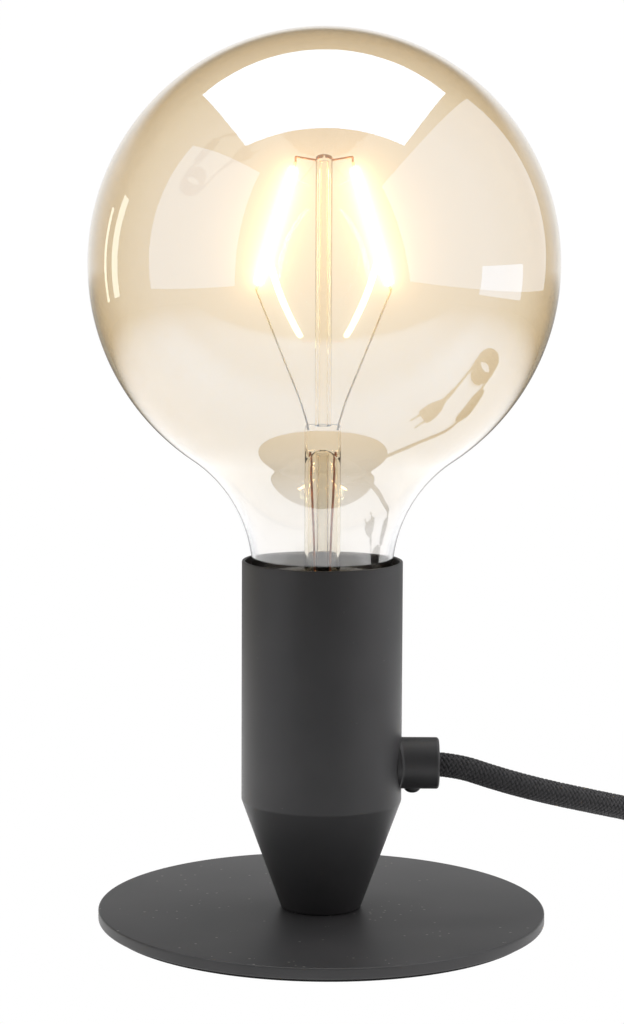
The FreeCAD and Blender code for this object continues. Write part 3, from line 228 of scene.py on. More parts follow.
def turned(
    name: str,
    profile: Profile,
    steps: int,
    warp: Callable[[float, float, float], float] | None = None,
    shape: Callable[[Vector], Vector] | None = None,
) -> Piece:
    """Turns a closed profile about Z.

    Args:
        name: the piece's name.
        profile: the outline; a point on the axis closes a pole.
        steps: how many faces go round.
        warp: a new radius for a radius, a height and an angle.
        shape: a last move of each point.

    Returns:
        The new object.
    """
    points = []
    for k in range(steps):
        angle = 2 * math.pi * k / steps
        for radius, height in profile:
            reach = warp(radius, height, angle) if warp and radius > 0 else radius
            point = Vector((reach * math.cos(angle), reach * math.sin(angle), height))
            points.append(shape(point) if shape else point)
    count = len(profile)
    faces = []
    for k in range(steps):
        here, there = k * count, (k + 1) % steps * count
        for a in range(count):
            b = (a + 1) % count
            if profile[a][0] == 0 and profile[b][0] == 0:
                continue
            ring = [here + a, there + a, there + b, here + b]
            if profile[a][0] == 0:
                ring = [here + a, there + b, here + b]
            elif profile[b][0] == 0:
                ring = [here + a, there + a, here + b]
            faces.append(ring)
    return new_piece(name, points, faces)


def lay_along(piece: Piece, start: Vector, heading: Vector) -> None:
    """Lays a piece that was turned about Z along another axis, in its mesh.

    Args:
        piece: the piece.
        start: where its origin goes.
        heading: where its Z axis points.
    """
    turn = heading.to_track_quat("Z", "Y").to_matrix().to_4x4()
    piece.data.transform(Matrix.Translation(start) @ turn)


def spline_curve(name: str, points: list[Vector]) -> Piece:
    """One smooth open line that starts and ends at its own ends.

    Args:
        name: the curve's name.
        points: its control points.

    Returns:
        The curve object.
    """
    data = bpy.data.curves.new(name, "CURVE")
    data.dimensions = "3D"
    data.resolution_u = 8
    line = data.splines.new("NURBS")
    line.points.add(len(points) - 1)
    for place, point in zip(line.points, points):
        place.co = (*point, 1.0)
    line.order_u = 3
    line.use_endpoint_u = True
    return linked(name, data)


def evaluated_mesh(source: Piece) -> bpy.types.Mesh:
    """The mesh that an object with modifiers, or a curve, shows."""
    made = source.evaluated_get(bpy.context.evaluated_depsgraph_get())
    return bpy.data.meshes.new_from_object(made)


def plain_mesh(source: Piece, name: str) -> Piece:
    """A plain mesh object from an object with modifiers or a curve.

    Args:
        source: the object, which stays as it is.
        name: the new object's name.

    Returns:
        The new object at the origin.
    """
    mesh = evaluated_mesh(source)
    mesh.name = name
    mesh.shade_smooth()
    return linked(name, mesh)


def wire(name: str, route: list[Vector], radius: float, rounding: int = 4) -> Piece:
    """A round wire along a route with softly bent corners.

    Args:
        name: the piece's name.
        route: its points.
        radius: the wire's radius.
        rounding: how far a bend is kept near its corner: more points, tighter bends.

    Returns:
        The wire as a mesh object.
    """
    points = [route[0]]
    for a, b in zip(route, route[1:]):
        points += [a.lerp(b, k / rounding) for k in range(1, rounding)] + [b]
    curve = spline_curve(name + "_line", points)
    curve.data.bevel_depth = radius
    curve.data.bevel_resolution = 3
    curve.data.use_fill_caps = True
    curve.data.resolution_u = 3
    piece = plain_mesh(curve, name)
    bpy.data.objects.remove(curve)
    return piece


def sized_tree(title: str, sizes: dict[str, float]) -> Tree:
    """An empty geometry tree whose inputs are named sizes.

    Args:
        title: the tree's name.
        sizes: each size's name and usual value; a whole number makes a counting input.

    Returns:
        The tree, with a geometry socket at both ends.
    """
    tree = bpy.data.node_groups.new(title, "GeometryNodeTree")
    tree.interface.new_socket("Geometry", in_out="INPUT", socket_type="NodeSocketGeometry")
    for name, value in sizes.items():
        kind = "NodeSocketInt" if isinstance(value, int) else "NodeSocketFloat"
        tree.interface.new_socket(name, in_out="INPUT", socket_type=kind).default_value = value
    tree.interface.new_socket("Geometry", in_out="OUTPUT", socket_type="NodeSocketGeometry")
    return tree


def end_tree(tree: Tree, geometry: Node, coat: bpy.types.Material) -> None:
    """Ends a geometry tree in real meshes with their material.

    Args:
        tree: the tree.
        geometry: the node that gives its last shape.
        coat: the material.
    """
    real = add_node(tree, "GeometryNodeRealizeInstances", {0: geometry})
    coated = add_node(tree, "GeometryNodeSetMaterial", {"Geometry": real, "Material": coat})
    add_node(tree, "NodeGroupOutput", {"Geometry": coated})


def grown(name: str, source: Piece, tree: Tree, sizes: dict[str, float]) -> Piece:
    """Lets a geometry tree grow a piece from an object, which it uses up.

    Args:
        name: the piece's name.
        source: what the tree starts from.
        tree: the tree.
        sizes: its inputs by name.

    Returns:
        The piece as a plain mesh object.
    """
    live = source.modifiers.new(name, "NODES")
    live.node_group = tree
    for item in tree.interface.items_tree:
        if item.in_out == "INPUT" and item.name in sizes:
            live[item.identifier] = sizes[item.name]
    piece = plain_mesh(source, name)
    source.modifiers.remove(live)
    bpy.data.objects.remove(source)
    return piece


# ------------------------------------------------------------------ finishes
@dataclass(frozen=True)
class Finish:
    """A real finish, which makes its own material."""

    title: str
    colour: str
    roughness: float
    metallic: float = 0.0

    def material(self) -> bpy.types.Material:
        """Makes the finish's material, once.

        Returns:
            The material.
        """
        found = bpy.data.materials.get(self.title)
        if found:
            return found
        made = bpy.data.materials.new(self.title)
        made.use_nodes = True
        tree = made.node_tree
        tree.nodes.clear()
        shader = add_node(tree, "ShaderNodeBsdfPrincipled", {
            "Base Color": linear(self.colour),
            "Roughness": self.roughness,
            "Metallic": self.metallic,
        })
        self.dress(tree, shader)
        add_node(tree, "ShaderNodeOutputMaterial", {"Surface": shader.outputs[0]})
        return made

    def dress(self, tree: Tree, shader: Node) -> None:
        """Adds what the finish shows beyond its colour."""

    def grain(self, tree: Tree, size_mm: float, detail: float = 2.0) -> Socket:
        """A cloudy pattern with a grain of a real size.

        Args:
            tree: the material's tree.
            size_mm: the grain's size.
            detail: how many finer octaves it has.

        Returns:
            The pattern's socket, from 0 to 1.
        """
        place = add_node(tree, COORDINATES).outputs["Object"]
        size = {"Vector": place, "Scale": 1 / (size_mm * MM), "Detail": detail}
        return add_node(tree, NOISE, size).outputs["Fac"]

    def emboss(self, tree: Tree, shader: Node, height: Source, depth_mm: float) -> None:
        """Presses a pattern into the surface, as deep as it really is."""
        depth = {"Strength": 1.0, "Distance": depth_mm * MM, "Height": height}
        tree.links.new(add_node(tree, "ShaderNodeBump", depth).outputs[0], shader.inputs["Normal"])

    def vary(self, tree: Tree, shader: Node, pattern: Source, *stops: tuple[float, str]) -> None:
        """Colours the surface by a pattern."""
        ramp = add_node(tree, RAMP, {"Fac": pattern}, stops=stops)
        tree.links.new(ramp.outputs[0], shader.inputs["Base Color"])


@dataclass(frozen=True)
class PowderCoat(Finish):
    """Polyester powder coat, sprayed and baked: matt, an even fine peel, a few specks of dust."""

    lighter: str = "#2a292a"
    cloud_mm: float = 22.0
    cloud: Point = (0.3, 0.75)
    sheen: float = 0.35
    peel_mm: float = 0.45
    peel_depth_mm: float = 0.012
    dust: str = "#8d8a86"
    dust_strength: float = 0.42
    speck_mm: float = 2.6
    speck_share: Point = (0.03, 0.13)
    lying: Fade = Fade(0.5, 0.9)
    patch_mm: float = 9.0
    patch_share: float = 0.545

    def dress(self, tree: Tree, shader: Node) -> None:
        """Adds the peel, a faint cloudiness and the dust, which is coarser on what lies flat.

        Args:
            tree: the material's tree.
            shader: its surface shader.
        """
        shader.inputs["Specular IOR Level"].default_value = self.sheen
        place = add_node(tree, COORDINATES).outputs["Object"]
        cells = add_node(tree, CELLS, {"Vector": place, "Scale": 1 / (self.speck_mm * MM)})
        facing = add_node(tree, COORDINATES).outputs["Normal"]
        level = add_node(tree, SPLIT, {0: facing}).outputs["Z"]
        reach = add_node(tree, RANGE, self.lying.of(level, *self.speck_share))
        near = {0: cells.outputs["Distance"], 1: reach}
        speck = add_node(tree, MATH, near, operation="LESS_THAN")
        patches = {0: self.grain(tree, self.patch_mm), 1: self.patch_share}
        few = add_node(tree, MATH, patches, operation="GREATER_THAN")
        dust = add_node(tree, MATH, {0: speck, 1: few}, operation="MULTIPLY")
        faint = add_node(tree, MATH, {0: dust, 1: self.dust_strength}, operation="MULTIPLY")
        cloud = add_node(tree, RAMP, {"Fac": self.grain(tree, self.cloud_mm)},
                         stops=((self.cloud[0], self.colour), (self.cloud[1], self.lighter)))
        dusty = {0: faint, COLOUR_A: cloud, COLOUR_B: linear(self.dust)}
        mixed = add_node(tree, MIX, dusty, data_type="RGBA")
        tree.links.new(mixed.outputs[COLOUR_MIXED], shader.inputs["Base Color"])
        self.emboss(tree, shader, self.grain(tree, self.peel_mm), self.peel_depth_mm)


@dataclass(frozen=True)
class Moulding(Finish):
    """Moulded from a spark-eroded tool: a fine even grain, soft sheen."""

    grain_mm: float = 0.3  # real grain is finer: drawn as coarse as it needs to show
    depth_mm: float = 0.012

    def dress(self, tree: Tree, shader: Node) -> None:
        """Adds the tool's grain."""
        self.emboss(tree, shader, self.grain(tree, self.grain_mm, detail=3.0), self.depth_mm)


@dataclass(frozen=True)
class Foam(Finish):
    """Die-cut closed-cell foam rubber: dull, with open cells along its cut edge."""

    cell_mm: float = 0.5
    depth_mm: float = 0.08

    def dress(self, tree: Tree, shader: Node) -> None:
        """Adds the cells.

        Args:
            tree: the material's tree.
            shader: its surface shader.
        """
        place = add_node(tree, COORDINATES).outputs["Object"]
        cells = add_node(tree, CELLS, {"Vector": place, "Scale": 1 / (self.cell_mm * MM)})
        self.emboss(tree, shader, cells.outputs["Distance"], self.depth_mm)


@dataclass(frozen=True)
class PlatedMetal(Finish):
    """Plated or bare metal from a press or a lathe: faint clouding and fine tool marks."""

    cloud: str = "#8c8a84"
    cloud_mm: float = 2.5
    mark_mm: float = 0.25  # real marks are finer: drawn as coarse as they need to show
    depth_mm: float = 0.006

    def dress(self, tree: Tree, shader: Node) -> None:
        """Adds the clouding and the marks.

        Args:
            tree: the material's tree.
            shader: its surface shader.
        """
        clouds = self.grain(tree, self.cloud_mm, detail=4.0)
        self.vary(tree, shader, clouds, (0.35, self.cloud), (0.65, self.colour))
        self.emboss(tree, shader, self.grain(tree, self.mark_mm), self.depth_mm)


@dataclass(frozen=True)
class SleevedPin(PlatedMetal):
    """A plated pin whose rear wears a black insulating sleeve: dull there, bright at its tip."""

    sleeve: str = "#161617"
    sleeve_roughness: float = 0.5
    sleeve_start_x: float = 104.0

    def dress(self, tree: Tree, shader: Node) -> None:
        """Adds the metal's look at the tip and the sleeve's behind it.

        Args:
            tree: the material's tree.
            shader: its surface shader.
        """
        super().dress(tree, shader)
        plated = shader.inputs["Base Color"].links[0].from_socket
        place = add_node(tree, COORDINATES).outputs["Object"]
        x = add_node(tree, SPLIT, {0: place}).outputs["X"]
        bare = add_node(tree, MATH, {0: x, 1: self.sleeve_start_x * MM}, operation="LESS_THAN")
        sleeved = {0: bare, COLOUR_A: linear(self.sleeve), COLOUR_B: plated}
        colour = add_node(tree, MIX, sleeved, data_type="RGBA")
        dull = add_node(tree, RANGE, Fade().of(bare, self.sleeve_roughness, self.roughness))
        tree.links.new(colour.outputs[COLOUR_MIXED], shader.inputs["Base Color"])
        tree.links.new(bare.outputs[0], shader.inputs["Metallic"])
        tree.links.new(dull.outputs[0], shader.inputs["Roughness"])


@dataclass(frozen=True)
class LustreGlass(Finish):
    """Blown soda-lime glass, sprayed with a thin gold lustre that runs out at the neck.

    The lustre lets tan light through and mirrors the cool rest, more than bare glass would, so
    the refractive index is that of an oxide coat. A slanting look passes more of the coat.
    """

    ior: float = 1.95
    clear_z: float = 103.0
    gold_z: float = 140.0
    mirrored: Stops = ((0.0, "#f4f4f4"), (1.0, "#a0ceff"))
    gold: Stops = ((0.0, "#f5efe4"), (0.3, "#f3ebdd"), (0.5, "#eee2cb"),
                   (0.75, "#d8c398"), (0.9, "#ac9161"), (1.0, "#5d5038"))
    # Painted shade: the clear neck's colour turns bluish grey towards its outline.
    clear: Stops = ((0.0, "#f7f5f2"), (0.55, "#f2f0ef"), (0.75, "#d6d8dd"),
                    (0.9, "#9a9ea8"), (1.0, "#4d515b"))

    def dress(self, tree: Tree, shader: Node) -> None:
        """Makes it see-through, golden above and clear at the neck, darkened towards the neck's
        outline by painted shade.

        Args:
            tree: the material's tree.
            shader: its surface shader.
        """
        shader.inputs["Transmission Weight"].default_value = 1.0
        shader.inputs["IOR"].default_value = self.ior
        slant = add_node(tree, "ShaderNodeLayerWeight", {"Blend": 0.5}).outputs["Facing"]
        gold = add_node(tree, RAMP, {"Fac": slant}, stops=self.gold)
        # painted shade: the clear neck darkens to bluish grey towards its outline
        clear = add_node(tree, RAMP, {"Fac": slant}, stops=self.clear)
        place = add_node(tree, COORDINATES).outputs["Object"]
        height = add_node(tree, SPLIT, {0: place}).outputs["Z"]
        lustre = Fade(self.clear_z * MM, self.gold_z * MM)
        share = add_node(tree, RANGE, lustre.of(height), **SMOOTH)
        both = add_node(tree, MIX, {0: share, COLOUR_A: clear, COLOUR_B: gold}, data_type="RGBA")
        tree.links.new(both.outputs[COLOUR_MIXED], shader.inputs["Base Color"])
        cool = add_node(tree, RAMP, {"Fac": share}, stops=self.mirrored)
        tree.links.new(cool.outputs[0], shader.inputs["Specular Tint"])


@dataclass(frozen=True)
class ClearGlass(Finish):
    """Drawn glass tube: clear, with draw lines, and painted shade that browns it towards its
    outline.
    """

    ior: float = 1.54
    # Painted shade: the glass is coloured browner towards its outline.
    slant: Stops = ((0.0, "#fffdf8"), (0.6, "#fbf4e4"), (0.88, "#ead8b0"), (1.0, "#94713f"))
    line_mm: float = 1.2
    line_stretch: Triple = (1.0, 1.0, 0.04)
    depth_mm: float = 0.008

    def dress(self, tree: Tree, shader: Node) -> None:
        """Makes it see-through, with lines along its height and painted brown shade towards its
        outline.

        Args:
            tree: the material's tree.
            shader: its surface shader.
        """
        shader.inputs["Transmission Weight"].default_value = 1.0
        shader.inputs["IOR"].default_value = self.ior
        facing = add_node(tree, "ShaderNodeLayerWeight", {"Blend": 0.5}).outputs["Facing"]
        self.vary(tree, shader, facing, *self.slant)
        place = add_node(tree, COORDINATES).outputs["Object"]
        drawn = add_node(tree, "ShaderNodeMapping", {"Vector": place, "Scale": self.line_stretch})
        size = {"Vector": drawn, "Scale": 1 / (self.line_mm * MM), "Detail": 1.0}
        self.emboss(tree, shader, add_node(tree, NOISE, size).outputs["Fac"], self.depth_mm)


@dataclass(frozen=True)
class LitPhosphor(Finish):
    """Silicone with yellow phosphor over a row of diodes, lit: far brighter than the room."""

    glow: str = "#ffd79a"
    strength: float = 480.0
    uneven: Point = (0.75, 1.25)
    bead_mm: float = 1.1

    def dress(self, tree: Tree, shader: Node) -> None:
        """Adds the light, a little uneven along the row.

        Args:
            tree: the material's tree.
            shader: its surface shader.
        """
        shader.inputs["Emission Color"].default_value = linear(self.glow)
        weakest, brightest = (self.strength * share for share in self.uneven)
        row = Fade().of(self.grain(tree, self.bead_mm), weakest, brightest)
        beads = add_node(tree, RANGE, row)
        tree.links.new(beads.outputs[0], shader.inputs["Emission Strength"])


@dataclass(frozen=True)
class Braid(Finish):
    """Textile braid of polyester yarn over the cord: fine crossing strands, dull, fuzzy, with
    painted light on their crowns and painted shade in their gaps.
    """

    # Painted light and shade: the strands' crowns are coloured lighter and the gaps between them
    # darker.
    strand: str = "#282729"
    gap: str = "#080809"
    strands_each_way: int = 12
    pick_mm: float = 1.25
    depth_mm: float = 0.2
    fuzz_mm: float = 0.16  # real yarn's hairs are finer: drawn as coarse as they need to show
    fuzz: float = 0.35
    sheen: float = 0.08

    def dress(self, tree: Tree, shader: Node) -> None:
        """Paints the strands' crowns lighter and their gaps darker, as painted light and shade, and
        lets them stand proud of their gaps.

        Args:
            tree: the material's tree.
            shader: its surface shader.
        """
        lay = add_node(tree, "ShaderNodeAttribute", attribute_name="lay").outputs["Vector"]
        height = braid_height(tree, lay, self.strands_each_way, self.pick_mm * MM)
        yarn = {0: self.grain(tree, self.fuzz_mm), 1: self.fuzz, 2: height}
        fuzzy = add_node(tree, MATH, yarn, operation="MULTIPLY_ADD")
        # painted shade in the gaps and painted light on the strands' crowns, with the yarn's own
        # black between
        self.vary(tree, shader, fuzzy, (0.15, self.gap), (0.62, self.colour), (1.0, self.strand))
        self.emboss(tree, shader, fuzzy, self.depth_mm)
        shader.inputs["Sheen Weight"].default_value = self.sheen
        shader.inputs["Sheen Roughness"].default_value = 0.5


def braid_height(tree: Tree, lay: Source, count: int, pick: float) -> Node:
    """The height of a braid whose strands cross over and under, in a shader or a geometry tree.

    Args:
        tree: the tree that gets the nodes.
        lay: cosine and sine round the cord, and the length along it in metres.
        count: the strands that run each way.
        pick: the length of one crossing.

    Returns:
        The node that gives the height, from 0 in a gap to 1 on a strand.
    """
    parts = add_node(tree, SPLIT, {0: lay}).outputs
    angle = add_node(tree, MATH, {0: parts["Y"], 1: parts["X"]}, operation="ARCTAN2")
    turn = add_node(tree, MATH, {0: angle, 1: count / (2 * math.pi)}, operation="MULTIPLY")
    length = add_node(tree, MATH, {0: parts["Z"], 1: pick}, operation="DIVIDE")
    crowns, steps = [], []
    for way in ("ADD", "SUBTRACT"):
        place = add_node(tree, MATH, {0: turn, 1: length}, operation=way)
        wave = add_node(tree, MATH, {0: place, 1: math.pi}, operation="MULTIPLY")
        sine = add_node(tree, MATH, {0: wave}, operation="SINE")
        crowns.append(add_node(tree, MATH, {0: sine}, operation="ABSOLUTE"))
        steps.append(add_node(tree, MATH, {0: place}, operation="FLOOR"))
    both = add_node(tree, MATH, {0: steps[0], 1: steps[1]}, operation="ADD")
    over = add_node(tree, MATH, {0: both, 1: 2.0}, operation="FLOORED_MODULO")
    under = add_node(tree, MATH, {0: 1.0, 1: over}, operation="SUBTRACT")
    first = add_node(tree, MATH, {0: crowns[0], 1: over}, operation="MULTIPLY")
    return add_node(tree, MATH, {0: crowns[1], 1: under, 2: first}, operation="MULTIPLY_ADD")


# Sprayed dry and baked: near black and matt, its peel no more than a softness in the light.
POWDER = PowderCoat("matt anthracite powder coat", "#212122", 0.5)
# Cut with a die: a dull black line under the disc, which mirrors nothing.
FOAM = Foam("die-cut foam rubber", "#151515", 0.95)
# Tumbled in its bath: a cool pale grey with bright edges and cloudy faces.
ZINC = PlatedMetal("zinc-plated steel", "#bdbdb8", 0.38, 1.0)
# Pressed hot: black, with a hard skin that shines a little.
THERMOSET = Moulding("black thermoset moulding", "#19191a", 0.42)
# Pressed dry and fired: cream, chalky and coarse.
STEATITE = Moulding("pressed steatite", "#d9d4c6", 0.6, grain_mm=0.5)
# Stamped from strip: a warm yellow, browner in clouds.
BRASS = PlatedMetal("stamped brass", "#c9a25a", 0.3, 1.0, cloud="#9a7a40")
# Blown and sprayed: tan to look through, darker towards its outline, cool where it mirrors; at the
# clear neck the darker outline is painted shade.
GOLD_LUSTRE = LustreGlass("glass with a gold lustre", "#f9f3e6", 0.0)
# Drawn from the melt: seen only by its brown edges, which are painted shade, and a few bright
# lines.
CLEAR = ClearGlass("drawn clear glass", "#fbfdfb", 0.0)
# Rolled and plated: bright, a little warm, with dark bands in its thread.
NICKEL = PlatedMetal("nickel-plated cap", "#c8c4bb", 0.22, 1.0, cloud="#a8a297")
# Poured hot: jet black and glossy.
VITRITE = Moulding("black glass insulator", "#0d0d0e", 0.12, depth_mm=0.004)
# Laminated and lacquered: a dull green.
BOARD = Moulding("glass-fibre circuit board", "#1d5a33", 0.45)
# Poured over its diodes and lit: white to the eye, with a warm halo.
LIT = LitPhosphor("lit phosphor filament", "#ffe9b8", 0.5)
# Drawn nickel wire, coloured near-white and warm with little metal in it: painted light for the
# filaments' glow on it.
STEEL_WIRE = PlatedMetal("nickel wire", "#f8f0de", 0.5, 0.1, cloud="#e3d3b2", mark_mm=0.15)
# Drawn with a copper skin: a red-brown glint.
COPPER_WIRE = PlatedMetal("copper-clad wire", "#b8704a", 0.35, 1.0, cloud="#8a4c2e", mark_mm=0.15)
# Woven over the cord: dull black, with crossing strands that catch a little light; their lighter
# crowns and darker gaps are painted light and shade.
BRAID = Braid("black textile braid", "#171718", 0.85)
# Extruded: smooth, with a soft shine along its length.
BROWN_CORE = Moulding("brown core insulation", "#5a2f16", 0.35)
BLUE_CORE = Moulding("blue core insulation", "#1c4f9c", 0.35)
# Moulded from an eroded tool: soft black with a low, even sheen.
PLASTIC = Moulding("black moulded plastic", "#1a1a1b", 0.48)
# Turned and plated, sleeved behind: a bright tip on a dull black shank.
PIN_PLATE = SleevedPin("nickel-plated pin", "#c4c0b8", 0.25, 1.0, cloud="#a39e92")


def hand_over(piece: Piece, finish: Finish, body: Body, slot: str, *nodes: str) -> Piece:
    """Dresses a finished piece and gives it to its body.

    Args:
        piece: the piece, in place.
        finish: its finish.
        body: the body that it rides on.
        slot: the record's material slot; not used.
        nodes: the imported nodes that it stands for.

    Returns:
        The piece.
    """
    piece.data.materials.clear()
    piece.data.materials.append(finish.material())
    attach(piece, body.value)
    if nodes:
        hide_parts(*nodes)
    log.info("%s: %s on %s", piece.name, finish.title, body.value)
    return piece


def dress_nodes(finish: Finish, *nodes: str) -> None:
    """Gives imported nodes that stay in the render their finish.

    Args:
        finish: the finish.
        nodes: their names.
    """
    for node in nodes:
        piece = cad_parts[node]
        if not piece.material_slots:
            piece.data.materials.append(finish.material())
        for place in piece.material_slots:
            place.material = finish.material()
        log.info("%s: %s", node, finish.title)


# ------------------------------------------------------------------ camera and studio
@dataclass
class Camera:
    """The photograph's camera, fitted to the globe's outline, the rim and the disc."""

    place: Triple = (-0.0086, -0.7323, 0.198)
    yaw: float = 0.0202
    pitch: float = -0.0869
    roll: float = -0.0018
    focal_px: float = 2763.0
    centre_px: Point = (235.0, 425.0)
    sensor: float = 36.0
    nearest: float = 0.01

    def build(self) -> None:
        """Makes the camera and looks through it."""
        data = bpy.data.cameras.new("camera")
        data.sensor_width = self.sensor
        data.lens = self.sensor * self.focal_px / PICTURE[1]
        data.shift_x = (PICTURE[0] / 2 - self.centre_px[0]) / PICTURE[1]
        data.shift_y = (self.centre_px[1] - PICTURE[1] / 2) / PICTURE[1]
        data.clip_start = self.nearest
        camera = linked("camera", data)
        aim = (
            Matrix.Rotation(self.yaw, 4, "Z")
            @ Matrix.Rotation(self.pitch, 4, "X")
            @ Matrix.Rotation(self.roll, 4, "Y")
            @ Matrix.Rotation(math.pi / 2, 4, "X")
        )
        camera.matrix_world = Matrix.Translation(self.place) @ aim
        bpy.context.scene.camera = camera
        log.info("camera: %.0f mm lens", data.lens)


@dataclass(frozen=True)
class SoftBox:
    """A rectangle of even light that faces the lamp, turned round it from the camera's side.

    The bearing and the rise are degrees, and the size and the reach are metres.
    """

    bearing: float
    rise: float
    size: Point
    radiance: float
    colour: str = "#f3f2f4"
    reach: float = 1.1

    def build(self, name: str, aim: Vector) -> None:
        """Makes the light.

        Args:
            name: its name.
            aim: the point that it faces.
        """
        data = bpy.data.lights.new(name, "AREA")
        data.shape = "RECTANGLE"
        data.size, data.size_y = self.size
        data.color = linear(self.colour)[:3]
        data.energy = self.radiance * math.pi * self.size[0] * self.size[1]
        light = linked(name, data)
        bearing, rise = math.radians(self.bearing), math.radians(self.rise)
        flat = math.cos(rise)
        way = Vector((math.sin(bearing) * flat, -math.cos(bearing) * flat, math.sin(rise)))
        turn = (-way).to_track_quat("-Z", "Y").to_matrix().to_4x4()
        light.matrix_world = Matrix.Translation(aim + way * self.reach) @ turn
        light.visible_camera = False
        light.visible_transmission = False
        log.info("%s: %g", name, self.radiance)


@dataclass
class Studio:
    """A white table and backdrop in a room that is dark behind the camera, with soft boxes.

    What is seen, also through the glass, is blown out to white. What the lamp mirrors is the
    room: the table is lit near the lamp and fades towards the camera, and the backdrop stands
    behind it between two heights.
    """

    floor_size: float = 12.0
    paper: str = "#d8d8d8"
    room: float = 0.16
    backdrop: float = 1.15
    table: float = 0.85
    table_front: float = 0.2
    near: Fade = Fade(0.25, 0.7)  # how far round the lamp the table is lit
    front: Fade = Fade(-0.17, -0.09)  # where it brightens, in front of the lamp
    edge: Fade = Fade(-0.31, -0.27)  # where it begins, further in front
    far: Fade = Fade(0.6, 5.0)  # how far off the floor takes the backdrop's light
    behind: Fade = Fade(0.55, 0.95)  # how straight a mirrored look points at the backdrop
    rise: Fade = Fade(-0.3, -0.2)  # how steep such a look is where the backdrop starts
    fall: Fade = Fade(0.26, 0.44)  # and where it ends
    aim: Triple = (0.0, 0.0, 0.16)
    boxes: dict[str, SoftBox] = field(default_factory=lambda: {
        "window_left": SoftBox(-66.0, 8.0, (1.0, 1.7), 1.65),
        "far_window": SoftBox(-118.0, 4.0, (0.11, 0.5), 3.2, "#fff0cf"),
        "far_pane": SoftBox(-128.0, 1.0, (0.05, 0.42), 3.2, "#fff0cf"),
        "wall_right": SoftBox(85.0, 14.0, (2.36, 1.7), 1.55),
        "window_right": SoftBox(92.0, -14.0, (0.5, 0.5), 2.2, reach=0.95),
        "ceiling": SoftBox(180.0, 85.0, (1.5, 1.15), 5.4, "#ffffff"),
    })
    bloom: dict[str, float] = field(default_factory=lambda: {
        "Threshold": 1.5, "Strength": 1.9, "Size": 0.42,
    })

    def build(self) -> None:
        """Makes the floor, the lights and the world."""
        bpy.context.scene.view_settings.view_transform = "Standard"
        self.floor()
        for name, box in self.boxes.items():
            box.build(name, Vector(self.aim))
        self.world()
        self.glow()

    def seen(self, tree: Tree) -> Node:
        """Tells what the camera sees, also through glass, from what is only mirrored.

        Args:
            tree: the tree that gets the nodes.

        Returns:
            The node that gives one for the first and zero for the second.
        """
        ray = add_node(tree, "ShaderNodeLightPath").outputs
        either = {0: ray["Is Camera Ray"], 1: ray["Is Transmission Ray"]}
        return add_node(tree, MATH, either, operation="MAXIMUM")

    def floor(self) -> None:
        """The white table, blown out where it is seen."""
        half = self.floor_size / 2
        corners = [(-half, -half, 0), (half, -half, 0), (half, half, 0), (-half, half, 0)]
        floor = new_piece("floor", corners, [(0, 1, 2, 3)])
        made = bpy.data.materials.new("white paper")
        made.use_nodes = True
        tree = made.node_tree
        tree.nodes.clear()
        place = add_node(tree, COORDINATES).outputs["Object"]
        depth = add_node(tree, SPLIT, {0: place}).outputs["Y"]
        away = add_node(tree, VECTOR_MATH, {0: place}, operation="LENGTH").outputs["Value"]
        near = add_node(tree, RANGE, self.near.of(away, 1.0, 0.0), **SMOOTH)
        dimmed = self.front.of(depth, self.table_front * self.table, self.table)
        front = add_node(tree, RANGE, dimmed, **SMOOTH)
        edge = add_node(tree, RANGE, self.edge.of(depth), **SMOOTH)
        reach = add_node(tree, MATH, {0: near, 1: edge}, operation="MULTIPLY")
        matt = add_node(tree, "ShaderNodeBsdfDiffuse", {"Color": linear(self.paper)})
        lit = add_node(tree, EMISSION, {"Color": WHITE, "Strength": front})
        table = add_node(tree, "ShaderNodeAddShader", {0: matt, 1: lit})
        bearing = add_node(tree, MATH, {0: depth, 1: away}, operation="DIVIDE")
        far = add_node(tree, RANGE, self.far.of(away, self.room, self.backdrop), **SMOOTH)
        back = add_node(tree, RANGE, self.behind.of(bearing, self.room, far), **SMOOTH)
        dark = add_node(tree, EMISSION, {"Color": WHITE, "Strength": back})
        paper = add_node(tree, "ShaderNodeMixShader", {0: reach, 1: dark, 2: table})
        blown = add_node(tree, EMISSION, {"Color": WHITE, "Strength": 1.0})
        both = add_node(tree, "ShaderNodeMixShader", {0: self.seen(tree), 1: paper, 2: blown})
        add_node(tree, "ShaderNodeOutputMaterial", {"Surface": both})
        floor.data.materials.append(made)

    def world(self) -> None:
        """White where it is seen, and a dark room with a bright backdrop where it is mirrored."""
        world = bpy.data.worlds.new("room")
        world.use_nodes = True
        bpy.context.scene.world = world
        tree = world.node_tree
        tree.nodes.clear()
        direction = add_node(tree, COORDINATES).outputs["Generated"]
        parts = add_node(tree, SPLIT, {0: direction}).outputs
        rise = add_node(tree, RANGE, self.rise.of(parts["Z"]), **SMOOTH)
        fall = add_node(tree, RANGE, self.fall.of(parts["Z"], 1.0, 0.0), **SMOOTH)
        low = add_node(tree, MATH, {0: rise, 1: fall}, operation="MULTIPLY")
        behind = add_node(tree, RANGE, self.behind.of(parts["Y"]), **SMOOTH)
        wall = add_node(tree, MATH, {0: low, 1: behind}, operation="MULTIPLY")
        levels = {0: wall, 1: self.backdrop - self.room, 2: self.room}
        mirrored = add_node(tree, MATH, levels, operation="MULTIPLY_ADD")
        either = {0: self.seen(tree), LEVEL_A: mirrored, LEVEL_B: 1.0}
        level = add_node(tree, MIX, either, data_type="FLOAT")
        light = add_node(tree, "ShaderNodeBackground", {"Color": WHITE, "Strength": level})
        add_node(tree, "ShaderNodeOutputWorld", {"Surface": light})

